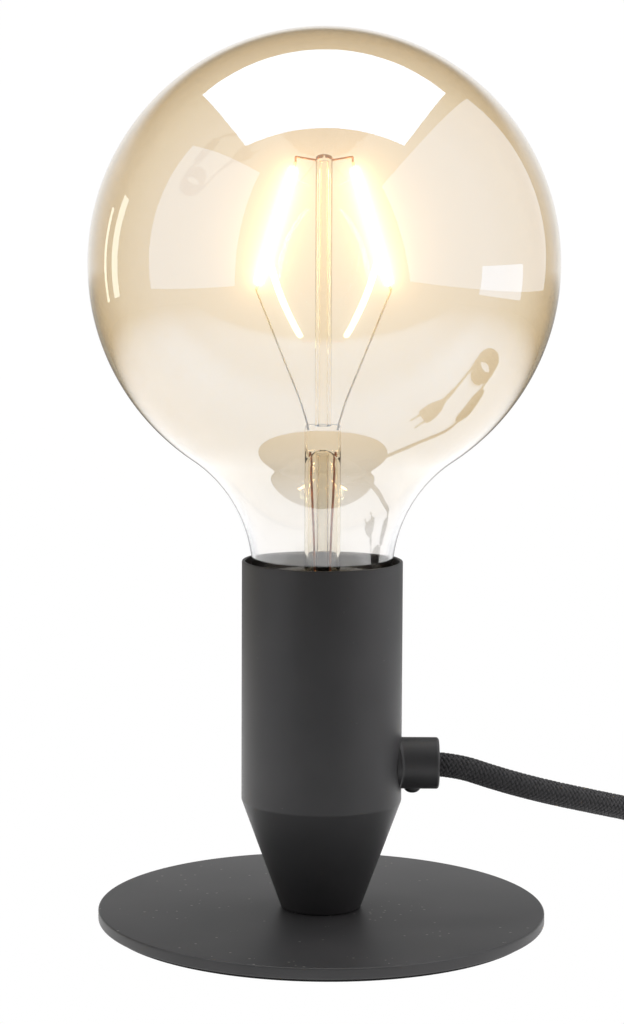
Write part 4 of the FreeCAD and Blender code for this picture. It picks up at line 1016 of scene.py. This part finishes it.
    def glow(self) -> None:
        """The lens's bloom round what is far brighter than white."""
        scene = bpy.context.scene
        scene.use_nodes = True
        tree = scene.node_tree
        tree.nodes.clear()
        picture = add_node(tree, "CompositorNodeRLayers")
        sizes = {"Image": picture, **self.bloom}
        bloom = add_node(tree, "CompositorNodeGlare", sizes, glare_type="BLOOM")
        add_node(tree, "CompositorNodeComposite", {"Image": bloom})


# ------------------------------------------------------------------ cord
@dataclass(frozen=True)
class Stretch:
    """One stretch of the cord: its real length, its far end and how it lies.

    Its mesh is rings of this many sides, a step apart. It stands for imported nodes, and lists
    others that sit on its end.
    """

    name: str
    length: float
    far_end: FarEnd
    lay: Lay
    step: float
    sides: int
    nodes: tuple[str, ...]
    carried: tuple[str, ...]


TO_SWITCH = Stretch(
    "cord_to_switch", length=0.15, far_end=FarEnd.FITTING, lay=Lay.LOOSE,
    step=0.2 * MM, sides=60, nodes=("cord_lead",),
    carried=("switch_lower", "switch_upper", "switch_rocker", "switch_pin", "switch_contacts",
             "switch_screws"),
)
TO_PLUG = Stretch(
    "cord_to_plug", length=1.658, far_end=FarEnd.PLUG, lay=Lay.COILED,
    step=1.25 * MM, sides=16, nodes=("cord_middle", "cord_coil", "cord_tail"),
    carried=("plug_body", "plug_pins"),
)


@dataclass
class Cord:
    """The braided cord: from the gland to the switch, and on through the coil to the plug.

    Its routes are control points in millimetres: the free stretch down to the switch, the run
    from the switch into the coil, and the run out of the coil to the plug.
    """

    diameter: float = 6.5 * MM
    pitch: float = 7.1 * MM
    coil_centre: Point = (260.4 * MM, 17.5 * MM)
    coil_radius: float = 41.9 * MM
    coil_start: float = 110.0
    coil_end: float = 270.0
    coil_turns: int = 6
    coil_layers: int = 4
    points_per_turn: int = 16
    braid_depth: float = 0.34 * MM
    braid_sunk: float = 0.9  # the share of the braid's depth that lies under the cord's radius
    lead_mm: tuple[Triple, ...] = (
        (22.5, 0.0, 43.3), (34.5, 0.0, 43.3), (47.5, 0.4, 38.9), (60.0, 2.0, 35.3),
        (74.0, 6.5, 31.5), (87.0, 13.0, 27.6), (99.0, 21.5, 22.8), (109.5, 30.0, 17.8),
        (119.0, 37.5, 13.6), (128.5, 43.3, 10.6), (138.5, 46.8, 9.0), (149.0, 47.8, 8.5),
        (155.0, 47.85, 8.5),
    )
    into_mm: tuple[Triple, ...] = (
        (200.0, 47.8, 8.5), (210.0, 47.85, 8.3), (220.2, 48.7, 5.7), (230.5, 51.4, 3.25),
    )
    out_mm: tuple[Triple, ...] = (
        (229.5, -25.7, 21.9), (217.5, -26.6, 17.4), (206.0, -27.3, 12.0),
        (197.5, -27.6, 9.0), (188.5, -27.5, 7.0), (180.0, -27.5, 7.0),
    )

    def build(self) -> None:
        self.stretch(TO_SWITCH, [Vector(p) * MM for p in self.lead_mm], [])
        self.stretch(TO_PLUG, self.run_route(), [SwitchAndPlug().relief_ribs()])

    def coil_point(self, turn: float, total: float, climbs: int) -> Vector:
        """A point of the wound coil: spirals in and out, layer on layer, with climbs between.

        Args:
            turn: the angle since the coil's start, in radians.
            total: the whole coil's angle.
            climbs: how often it climbs a layer, over half a turn each.

        Returns:
            The point on the cord's axis.
        """
        spiral = (total - climbs * math.pi) / (climbs + 1)
        rate = self.pitch / (2 * math.pi)
        period = spiral + math.pi
        layer = min(int(turn // period), climbs)
        inside = turn - layer * period
        way = -1 if layer % 2 == 0 else 1
        start = self.coil_radius if way < 0 else self.coil_radius - rate * spiral
        if inside <= spiral:
            radius = start + way * rate * inside
            height = layer * self.pitch
        else:
            past = inside - spiral
            share = past / math.pi
            radius = start + way * rate * (spiral + past - past * share)
            height = (layer + 3 * share**2 - 2 * share**3) * self.pitch
        angle = math.radians(self.coil_start) - turn
        flat = Vector((math.cos(angle), math.sin(angle), 0)) * radius
        return Vector((*self.coil_centre, self.diameter / 2 + height)) + flat

    def run_route(self) -> list[Vector]:
        """The stretch from the switch through the coil to the plug.

        Returns:
            Its control points.
        """
        total = math.radians(self.coil_start - self.coil_end + 360 * (self.coil_turns + 1))
        climbs = self.coil_layers - 1
        count = round(total / (2 * math.pi) * self.points_per_turn)
        wound = [self.coil_point(total * k / count, total, climbs) for k in range(count + 1)]
        into, out = ([Vector(p) * MM for p in run] for run in (self.into_mm, self.out_mm))
        return into + wound + out

    def stretch(self, made: Stretch, route: list[Vector], added: list[Piece]) -> None:
        """One braided stretch along its route.

        Args:
            made: what it is.
            route: the control points of its line.
            added: the scene's own pieces on it; not used.
        """
        curve = spline_curve(made.name + "_line", route)
        path = [v.co.copy() for v in evaluated_mesh(curve).vertices]
        sizes = {"Radius": self.diameter / 2, "Step": made.step, "Sides": made.sides,
                 "Depth": self.braid_depth}
        piece = grown(made.name, curve, self.braid_tree(sizes), sizes)
        hand_over(piece, BRAID, Body.LAMP, "black_braid", *made.nodes)

    def braid_tree(self, sizes: dict[str, float]) -> Tree:
        """The tree that sweeps a braided tube along a line.

        Args:
            sizes: the tube's radius, ring step, sides and braid depth.

        Returns:
            The geometry node tree.
        """
        tree = sized_tree("braided_tube", sizes)
        given = add_node(tree, "NodeGroupInput").outputs
        runs = {"Curve": given["Geometry"], "Length": given["Step"]}
        line = add_node(tree, "GeometryNodeResampleCurve", runs, mode="LENGTH")
        length = add_node(tree, "GeometryNodeSplineParameter").outputs["Length"]
        kept_length = self.capture(tree, line.outputs["Curve"], length)
        ring = add_node(tree, CIRCLE, {"Resolution": given["Sides"], "Radius": 1.0})
        place = add_node(tree, "GeometryNodeInputPosition").outputs[0]
        kept_place = self.capture(tree, ring.outputs["Curve"], place)
        core = {0: given["Depth"], 1: -self.braid_sunk, 2: given["Radius"]}
        inner = add_node(tree, MATH, core, operation="MULTIPLY_ADD")
        size = add_node(tree, JOIN, {0: inner, 1: inner, 2: 1.0})
        thin = add_node(tree, "GeometryNodeTransform", {"Geometry": kept_place, "Scale": size})
        swept = {"Curve": kept_length, "Profile Curve": thin, "Fill Caps": True}
        tube = add_node(tree, "GeometryNodeCurveToMesh", swept)
        around = add_node(tree, SPLIT, {0: kept_place.outputs[1]}).outputs
        lay = add_node(tree, JOIN, {0: around["X"], 1: around["Y"], 2: kept_length.outputs[1]})
        height = braid_height(tree, lay, BRAID.strands_each_way, BRAID.pick_mm * MM)
        outwards = add_node(tree, "GeometryNodeInputNormal")
        proud = add_node(tree, MATH, {0: height, 1: given["Depth"]}, operation="MULTIPLY")
        push = add_node(tree, VECTOR_MATH, {0: outwards, "Scale": proud}, operation="SCALE")
        woven = add_node(tree, "GeometryNodeSetPosition", {"Geometry": tube, "Offset": push})
        stored = add_node(
            tree, "GeometryNodeStoreNamedAttribute",
            {"Geometry": woven, "Name": "lay", "Value": lay.outputs[0]},
            data_type="FLOAT_VECTOR", domain="POINT",
        )
        end_tree(tree, stored, BRAID.material())
        return tree

    def capture(self, tree: Tree, geometry: Socket, value: Socket) -> Node:
        """Keeps a value of a curve's points for the tube's points.

        Args:
            tree: the geometry tree.
            geometry: the curve.
            value: what is kept.

        Returns:
            The node, whose outputs are the curve and the value.
        """
        node = tree.nodes.new("GeometryNodeCaptureAttribute")
        kind = "VECTOR" if value.type == "VECTOR" else "FLOAT"
        node.capture_items.new(kind, "kept")
        tree.links.new(geometry, node.inputs[0])
        tree.links.new(value, node.inputs[1])
        return node


# ------------------------------------------------------------------ base and body
@dataclass
class Base:
    """The steel disc with its pad and screw."""

    edge: float = 0.5 * MM
    screw_clearance: float = 0.25 * MM
    screw_shank: float = 2.5 * MM

    def build(self) -> None:
        """Makes the disc and dresses its pad and screw."""
        low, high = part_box("base_plate")
        radius, foot, top = high.x, low.z, high.z
        screw_low, screw_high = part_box("base_screw")
        mouth = screw_high.x + self.screw_clearance
        hole = self.screw_shank + self.screw_clearance
        sink = screw_low.z
        profile = (
            [(mouth, foot)]
            + arc((radius - self.edge, foot + self.edge), self.edge, -90, 0, 6)
            + arc((radius - self.edge, top - self.edge), self.edge, 0, 90, 6)
            + [(hole, top), (hole, sink + mouth - hole), (mouth, sink)]
        )
        plate = turned("base_disc", profile, steps=256)
        hand_over(plate, POWDER, Body.LAMP, "powder_coat", "base_plate")
        dress_nodes(FOAM, "base_pad")
        dress_nodes(ZINC, "base_screw")


@dataclass
class Cup:
    """The spun body: a flat foot, a cone, a crease, a straight wall and a soft rim."""

    wall: float = 0.9 * MM
    crease_z: float = 33.5 * MM
    crease_radius: float = 2.0 * MM
    foot_radius: float = 10.7 * MM
    foot_edge: float = 0.8 * MM
    rim: float = 0.35 * MM
    hole: float = 2.75 * MM

    def corner(self, before: Point, place: Point, after: Point, radius: float) -> Profile:
        """An outline's corner, rounded by an arc between its two sides.

        Args:
            before: a point on the side that comes in.
            place: the sharp corner.
            after: a point on the side that goes out.
            radius: the arc's radius.

        Returns:
            The arc's points.
        """
        a, c, b = Vector(before), Vector(place), Vector(after)
        one, two = (a - c).normalized(), (b - c).normalized()
        half = one.angle(two) / 2
        centre = c + (one + two).normalized() * (radius / math.sin(half))
        start = c + one * (radius / math.tan(half)) - centre
        end = c + two * (radius / math.tan(half)) - centre
        first = math.degrees(math.atan2(start.y, start.x))
        last = math.degrees(math.atan2(end.y, end.x))
        sweep = (last - first + 180) % 360 - 180
        return arc((centre.x, centre.y), radius, first, first + sweep)

    def build(self) -> None:
        """Makes the cup and dresses what stands in it."""
        low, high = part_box("body_shell")
        radius, foot, top = high.y, low.z, high.z
        inner = radius - self.wall
        slope = (radius - self.foot_radius) / (self.crease_z - foot)
        level = self.wall * math.hypot(1, slope)
        inner_foot = (self.foot_radius - level + slope * self.wall, foot + self.wall)
        inner_crease = (inner, self.crease_z + self.wall * (math.hypot(1, slope) - 1) / slope)
        crease = (radius, self.crease_z)
        corner = (self.foot_radius, foot)
        profile = (
            [(self.hole, foot)]
            + self.corner((self.hole, foot), corner, crease, self.foot_edge)
            + self.corner(corner, crease, (radius, top), self.crease_radius)
            + arc((radius - self.rim, top - self.rim), self.rim, 0, 90, 5)
            + arc((inner + self.rim, top - self.rim), self.rim, 90, 180, 5)
            + self.corner((inner, top), inner_crease, inner_foot, self.crease_radius - self.wall)
            + [inner_foot, (self.hole, foot + self.wall)]
        )
        shell = turned("spun_cup", profile, steps=256)
        hand_over(shell, POWDER, Body.LAMP, "powder_coat", "body_shell")
        dress_nodes(ZINC, "foot_insert", "threaded_tube", "tube_foot_nut", "tube_top_nut")


@dataclass
class ScrewThread:
    """The rolled round thread of a bulb's cap and of the shell that takes it."""

    pitch: float = 3.629 * MM
    depth: float = 0.8 * MM
    start_z: float = 69.5 * MM
    end_z: float = 86.5 * MM
    fade: float = 2.0 * MM

    def rolled(self, radius: float, height: float, angle: float) -> float:
        """Draws a plain wall in from the thread's crests.

        Args:
            radius: the wall's radius at the crests.
            height: how high the point is.
            angle: where it is round the axis.

        Returns:
            The radius there; outside the thread it stays.
        """
        wave = 0.5 - 0.5 * math.cos(2 * math.pi * height / self.pitch - angle)
        inside = min(height - self.start_z, self.end_z - height)
        share = min(1.0, max(0.0, inside / self.fade))
        return radius - self.depth * wave * share


@dataclass
class Lampholder:
    """The lampholder in the body, whose screw shell takes the cap."""

    thread: ScrewThread = field(default_factory=ScrewThread)
    wall: float = 0.35 * MM
    bore: float = 13.35 * MM
    rows: int = 90

    def build(self) -> None:
        """Makes the threaded shell and dresses the rest."""
        low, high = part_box("screw_shell")
        foot = low.z + self.wall
        heights = [foot + (high.z - low.z - self.wall) * k / self.rows
                   for k in range(self.rows + 1)]
        profile = (
            [(high.x, low.z), (high.x, foot)]
            + [(self.bore + self.wall, z) for z in heights[1:]]
            + [(self.bore, z) for z in reversed(heights)]
            + [(self.bore, low.z)]
        )
        shell = turned("screw_shell_rolled", profile, steps=96, warp=self.thread.rolled)
        hand_over(shell, BRASS, Body.LAMP, "brass_contact", "screw_shell")
        dress_nodes(BRASS, "centre_contact", "side_contact")
        dress_nodes(ZINC, "terminal_screws")
        dress_nodes(STEATITE, "terminal_disc")
        dress_nodes(THERMOSET, "holder_base", "holder_sleeve")


# ------------------------------------------------------------------ bulb
@dataclass
class Bulb:
    """The globe bulb: glass, cap, stem, rod, two lit filaments and their wires.

    The filament's, the bridge's and the lead's points are (side, height): from the globe's
    centre, from the rod's shoulder and from the press's top.
    """

    # The glass: its wall, the radii of its turns from the neck down, and its seal.
    wall: float = 0.9 * MM
    neck: float = 18.75 * MM
    flare: float = 36.5 * MM
    shoulder: float = 4.6 * MM
    shoulder_z: float = 90.0 * MM
    neck_length: float = 0.25 * MM
    seal: float = 12.45 * MM
    seal_fillet: float = 0.9 * MM
    cap_wall: float = 0.3 * MM
    cap_foot: float = 10.8 * MM
    cap_rows: int = 80
    # The stem: radii, the press at its top and how it is pinched flat.
    stem: float = 4.8 * MM
    stem_wall: float = 0.9 * MM
    stem_clearance: float = 0.05 * MM
    exhaust: float = 1.7 * MM
    exhaust_wall: float = 0.5 * MM
    exhaust_gap: float = 1.0 * MM
    press_z: float = 127.6 * MM
    press_top: float = 134.4 * MM
    press_half: float = 1.7 * MM
    press_edge: float = 0.8 * MM
    press_taper: float = 7 * MM
    press_lead: float = 6 * MM
    press_row: float = 1.5 * MM
    press_rows: int = 7
    # The rod: radii, and its closed tip as shares of the bore with depths below the shoulder.
    rod: float = 2.2 * MM
    rod_bore: float = 1.2 * MM
    rod_sunk: float = 0.4 * MM
    rod_dome: float = 1.0 * MM
    rod_tip: tuple[Point, ...] = ((0.0, 0.6 * MM), (0.8, 1.0 * MM), (1.0, 2 * MM))
    # The filaments, their tabs and their wires.
    wire: float = 0.27 * MM
    filament: float = 1.1 * MM
    filament_edge: float = 0.4
    filament_top: Point = (8.0 * MM, 25.4 * MM)
    filament_foot: Point = (17.4 * MM, -5.4 * MM)
    tab: float = 1.6 * MM
    tab_sunk: float = 0.4 * MM
    tab_wire: float = 0.42 * MM
    bridge: tuple[Point, Point] = ((0.0, 0.2 * MM), (2.2 * MM, -0.6 * MM))
    bridge_rise: float = 1.4 * MM
    lead_root: Point = (3.7 * MM, -1.5 * MM)
    lead_knee: Point = (5.9 * MM, 6.0 * MM)
    thread: ScrewThread = field(default_factory=ScrewThread)

    @cached_property
    def globe(self) -> float:
        """The globe's radius."""
        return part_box("bulb_glass")[1].x

    @cached_property
    def globe_z(self) -> float:
        """The height of the globe's centre."""
        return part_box("bulb_glass")[1].z - self.globe

    def build(self) -> None:
        """Makes every piece of the bulb."""
        self.glass()
        self.cap()
        self.stem_and_press()
        self.centre_rod()
        self.filaments()
        self.wires()
        dress_nodes(VITRITE, "bulb_insulator")
        dress_nodes(BRASS, "bulb_contact")
        dress_nodes(BOARD, "bulb_driver")

    def skin(self, wall: float) -> Profile:
        """The glass's outline from the seal's foot up to the pole.

        Args:
            wall: how far it is drawn in from the outer skin.

        Returns:
            The outline's points.
        """
        neck = self.neck - wall
        flare = self.flare + wall
        globe = self.globe - wall
        centre = (neck + flare, self.shoulder_z + self.shoulder + self.neck_length)
        aim = math.degrees(math.atan2(centre[1] - self.globe_z, centre[0]))
        shoulder = self.shoulder - wall
        shoulder_centre = (neck - shoulder, self.shoulder_z + self.shoulder)
        fillet = self.seal_fillet + wall
        seal = self.seal - wall
        fillet_centre = (seal + fillet, self.shoulder_z - self.seal_fillet)
        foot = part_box("bulb_glass")[0].z
        return (
            [(seal, foot)]
            + arc(fillet_centre, fillet, 180, 90, 8)
            + arc(shoulder_centre, shoulder, -90, 0, 12)
            + arc(centre, flare, 180, 180 + aim, 32)
            + arc((0, self.globe_z), globe, aim, 90, 110)[1:-1]
            + [(0.0, self.globe_z + globe)]
        )

    def glass(self) -> None:
        """The hollow globe, both skins."""
        profile = self.skin(0.0) + list(reversed(self.skin(self.wall)))
        piece = turned("globe_glass", profile, steps=256)
        hand_over(piece, GOLD_LUSTRE, Body.BULB, "amber_glass", "bulb_glass")

    def cap(self) -> None:
        """The cap with its rolled thread."""
        low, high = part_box("bulb_cap")
        start = low.z + (high.x - self.cap_foot)
        heights = [start + (high.z - start) * k / self.cap_rows for k in range(self.cap_rows + 1)]
        profile = (
            [(self.cap_foot - self.cap_wall, low.z), (self.cap_foot, low.z)]
            + [(high.x, z) for z in heights]
            + [(high.x - self.cap_wall, z) for z in reversed(heights)]
            + [(self.cap_foot - self.cap_wall, low.z + 2 * self.cap_wall)]
        )
        piece = turned("threaded_cap", profile, steps=128, warp=self.thread.rolled)
        hand_over(piece, NICKEL, Body.BULB, "nickel_cap", "bulb_cap")

    def pinched(self, point: Vector) -> Vector:
        """Pinches the round stem flat towards its top.

        Args:
            point: a point of the round stem.

        Returns:
            Where the press leaves it.
        """
        share = (point.z - (self.press_z - self.press_taper)) / self.press_taper
        share = min(1.0, max(0.0, share))
        share = share * share * (3 - 2 * share)
        flat = self.press_half / self.stem
        return Vector((point.x, point.y * (1 + (flat - 1) * share), point.z))

    def stem_and_press(self) -> None:
        """The flared stem, which is pinched flat at its top, and the tube that emptied the bulb."""
        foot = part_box("bulb_stem")[0].z
        seal = self.seal - self.wall - self.stem_clearance
        flare = seal - self.stem
        centre = (seal, foot + self.stem_wall + flare)
        lead = self.press_z - self.press_lead
        edge = self.press_edge
        cavity = self.stem - self.stem_wall
        profile = (
            arc(centre, flare + self.stem_wall, 180, 270, 16)
            + arc(centre, flare, 270, 180, 16)
            + [(self.stem, lead + self.press_row * k) for k in range(1, self.press_rows + 1)]
            + arc((self.stem - edge, self.press_top - edge), edge, 0, 90, 6)
            + [(0.0, self.press_top), (0.0, self.press_z)]
            + arc((0, self.press_z - cavity), cavity, 90, 0, 8)[1:]
        )
        piece = turned("glass_stem", profile, steps=96, shape=self.pinched)
        hand_over(piece, CLEAR, Body.BULB, "clear_glass", "bulb_stem")
        bore = self.exhaust - self.exhaust_wall
        low, high = foot + self.exhaust_gap, self.press_z - self.exhaust_gap
        profile = [(bore, low), (self.exhaust, low), (self.exhaust, high), (bore, high)]
        tube = turned("exhaust_tube", profile, steps=48)
        hand_over(tube, CLEAR, Body.BULB, "clear_glass")

    def centre_rod(self) -> None:
        """The hollow rod with its melted tip."""
        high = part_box("bulb_rod")[1].z
        foot = self.press_top - self.rod_sunk
        top = high - self.rod_dome
        profile = (
            [(self.rod_bore, foot), (self.rod, foot), (self.rod, top)]
            + [(self.rod * math.cos(turn), top + self.rod_dome * math.sin(turn))
               for turn in (0.4, 0.8, 1.2)]
            + [(0.0, high)]
            + [(self.rod_bore * share, top - depth) for share, depth in self.rod_tip]
        )
        piece = turned("glass_rod", profile, steps=64)
        hand_over(piece, CLEAR, Body.BULB, "clear_glass", "bulb_rod")

    def ends(self, side: int) -> list[Vector]:
        """Top and foot of a filament's lit stretch, left or right by the side's sign."""
        return [Vector((side * x, 0, self.globe_z + z))
                for x, z in (self.filament_top, self.filament_foot)]

    def filaments(self) -> None:
        """Both lit sticks, with the metal tabs at their ends."""
        radius, edge = self.filament, self.filament * self.filament_edge
        flat = radius * (1 - self.filament_edge)
        for side, name in ((-1, "left"), (1, "right")):
            top, foot = self.ends(side)
            length = (top - foot).length
            profile = (
                [(0.0, 0.0)]
                + arc((flat, edge), edge, -90, 0, 4)
                + arc((flat, length - edge), edge, 0, 90, 4)
                + [(0.0, length)]
            )
            stick = turned("lit_stick_" + name, profile, steps=32)
            lay_along(stick, foot, top - foot)
            hand_over(stick, LIT, Body.BULB, "lit_filament", "filament_" + name)
            lean = (top - foot).normalized()
            for place, end, way in (("upper", top, lean), ("lower", foot, -lean)):
                route = [end - way * self.tab_sunk, end + way * self.tab]
                tab = wire(f"tab_{place}_{name}", route, self.tab_wire)
                hand_over(tab, STEEL_WIRE, Body.BULB, "filament_wire")

    def wires(self) -> None:
        """The bridge over the rod, the lead wires and the copper leads in the stem."""
        rod_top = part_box("bulb_rod")[1].z - self.rod_dome
        for side, name in ((-1, "left"), (1, "right")):
            top, foot = self.ends(side)
            lean = (top - foot).normalized()
            high = top + lean * self.tab
            route = [Vector((side * x, 0, rod_top + z)) for x, z in self.bridge]
            route += [high + Vector((0, 0, self.bridge_rise)), high]
            bridge = wire("bridge_" + name, route, self.wire)
            hand_over(bridge, COPPER_WIRE, Body.BULB, "filament_wire",
                      *(["filament_bridge"] if side < 0 else []))
            route = [Vector((side * x, 0, self.press_top + z))
                     for x, z in (self.lead_root, self.lead_knee)]
            lead = wire("lead_" + name, route + [foot - lean * self.tab], self.wire)
            hand_over(lead, STEEL_WIRE, Body.BULB, "filament_wire", "lead_wire_" + name)
        dress_nodes(COPPER_WIRE, "inner_leads")


# ------------------------------------------------------------------ gland
@dataclass
class Gland:
    """The side gland that the cord leaves through, filleted onto the round wall."""

    axis_z: float = 43.3 * MM
    radius: float = 6.9 * MM
    edge: float = 0.8 * MM
    bore: float = 3.45 * MM
    length: float = 10.0 * MM
    sunk: float = 1.3 * MM
    fillet: float = 0.9 * MM
    blend: float = 3.0 * MM
    funnel: float = 1.6 * MM
    funnel_flare: float = 0.7 * MM

    @cached_property
    def wall(self) -> float:
        """The radius of the body's wall."""
        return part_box("body_shell")[1].y

    def seated(self, point: Vector) -> Vector:
        """Lets the barrel's foot follow the round wall.

        Args:
            point: a point of the barrel, whose axis is Z.

        Returns:
            The point where the barrel sits.
        """
        sag = self.wall - math.sqrt(self.wall**2 - point.y**2)
        share = min(1.0, max(0.0, 1.0 - (point.z - self.fillet) / self.blend))
        return Vector((point.x, point.y, point.z - sag * share))

    def build(self) -> None:
        """Makes the barrel and dresses what holds it."""
        foot = arc((0.0, self.fillet), self.fillet, -90, 0, 6)
        profile = (
            [(self.bore, -self.sunk), (self.radius + self.fillet, -self.sunk)]
            + [(self.radius + self.fillet - x, height) for x, height in foot]
            + arc((self.radius - self.edge, self.length - self.edge), self.edge, 0, 90, 8)
            + [(self.bore + self.funnel_flare, self.length), (self.bore, self.length - self.funnel)]
        )
        barrel = turned("gland_barrel", profile, steps=128, shape=self.seated)
        lay_along(barrel, Vector((self.wall, 0, self.axis_z)), Vector((1, 0, 0)))
        hand_over(barrel, POWDER, Body.LAMP, "powder_coat", "cord_gland")
        dress_nodes(POWDER, "gland_set_screw")
        dress_nodes(PLASTIC, "gland_saddle")
        dress_nodes(ZINC, "gland_nut")
        dress_nodes(BLUE_CORE, "neutral_wire")
        dress_nodes(BROWN_CORE, "live_wire")


# ------------------------------------------------------------------ switch and plug
@dataclass
class SwitchAndPlug:
    """The inline switch and the flat plug with its ribbed strain relief.

    The relief's root and tip are (x, radius).
    """

    relief_root: Point = (150.0 * MM, 5.2 * MM)
    relief_tip: Point = (180.0 * MM, 4.15 * MM)
    first_rib: float = 3.6 * MM
    rib_pitch: float = 3.4 * MM
    rib: float = 0.5 * MM
    rib_sides: int = 10
    ring_sides: int = 48
    ribs: int = 7

    def relief_ribs(self) -> Piece:
        """Grows the ribs of the plug's strain relief.

        Returns:
            The ribs as one piece.
        """
        low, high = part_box("plug_body")
        (root, wide), (tip, narrow) = self.relief_root, self.relief_tip
        taper = (wide - narrow) / (tip - root)
        radius = wide - taper * self.first_rib
        sizes = {
            "Count": self.ribs,
            "Start X": root + self.first_rib,
            "Centre Y": (low.y + high.y) / 2,
            "Centre Z": (low.z + high.z) / 2,
            "Pitch": self.rib_pitch,
            "Radius": radius,
            "Shrink": taper * self.rib_pitch / radius,
            "Rib": self.rib,
        }
        tree = sized_tree("relief_rings", sizes)
        given = add_node(tree, "NodeGroupInput").outputs
        first = {0: given["Start X"], 1: given["Centre Y"], 2: given["Centre Z"]}
        start = add_node(tree, JOIN, first)
        step = add_node(tree, JOIN, {0: given["Pitch"]})
        places = {"Count": given["Count"], "Start Location": start, "Offset": step}
        line = add_node(tree, "GeometryNodeMeshLine", places)
        ring = add_node(tree, CIRCLE, {"Resolution": self.ring_sides, "Radius": given["Radius"]})
        bead = add_node(tree, CIRCLE, {"Resolution": self.rib_sides, "Radius": given["Rib"]})
        rib = add_node(tree, "GeometryNodeCurveToMesh", {"Curve": ring, "Profile Curve": bead})
        number = add_node(tree, "GeometryNodeInputIndex")
        shrink = add_node(tree, MATH, {0: number, 1: given["Shrink"]}, operation="MULTIPLY")
        size = add_node(tree, MATH, {0: 1.0, 1: shrink}, operation="SUBTRACT")
        row = add_node(
            tree, "GeometryNodeInstanceOnPoints",
            {"Points": line, "Instance": rib, "Rotation": (0.0, math.pi / 2, 0.0), "Scale": size},
        )
        end_tree(tree, row, PLASTIC.material())
        seed = linked("relief_seed", bpy.data.meshes.new("relief_seed"))
        piece = grown("relief_ribs", seed, tree, sizes)
        return hand_over(piece, PLASTIC, Body.LAMP, "black_plastic")

    def build(self) -> None:
        """Dresses both."""
        dress_nodes(PLASTIC, "switch_lower", "switch_upper", "switch_rocker", "plug_body")
        dress_nodes(ZINC, "switch_pin", "switch_screws")
        dress_nodes(BRASS, "switch_contacts")
        dress_nodes(PIN_PLATE, "plug_pins")


def corners(box: tuple[Vector, Vector]) -> list[list[float]]:
    """A box as plain lists of numbers."""
    return [[float(x) for x in corner] for corner in box]


def main() -> None:
    """Builds the whole lamp in its studio."""
    logging.basicConfig(level=logging.INFO, format="%(name)s: %(message)s")
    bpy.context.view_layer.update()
    for part in (Camera(), Studio(), Cord(), Base(), Cup(), Lampholder(), Bulb(), Gland(),
                 SwitchAndPlug()):
        part.build()


if __name__ == "__main__":
    main()
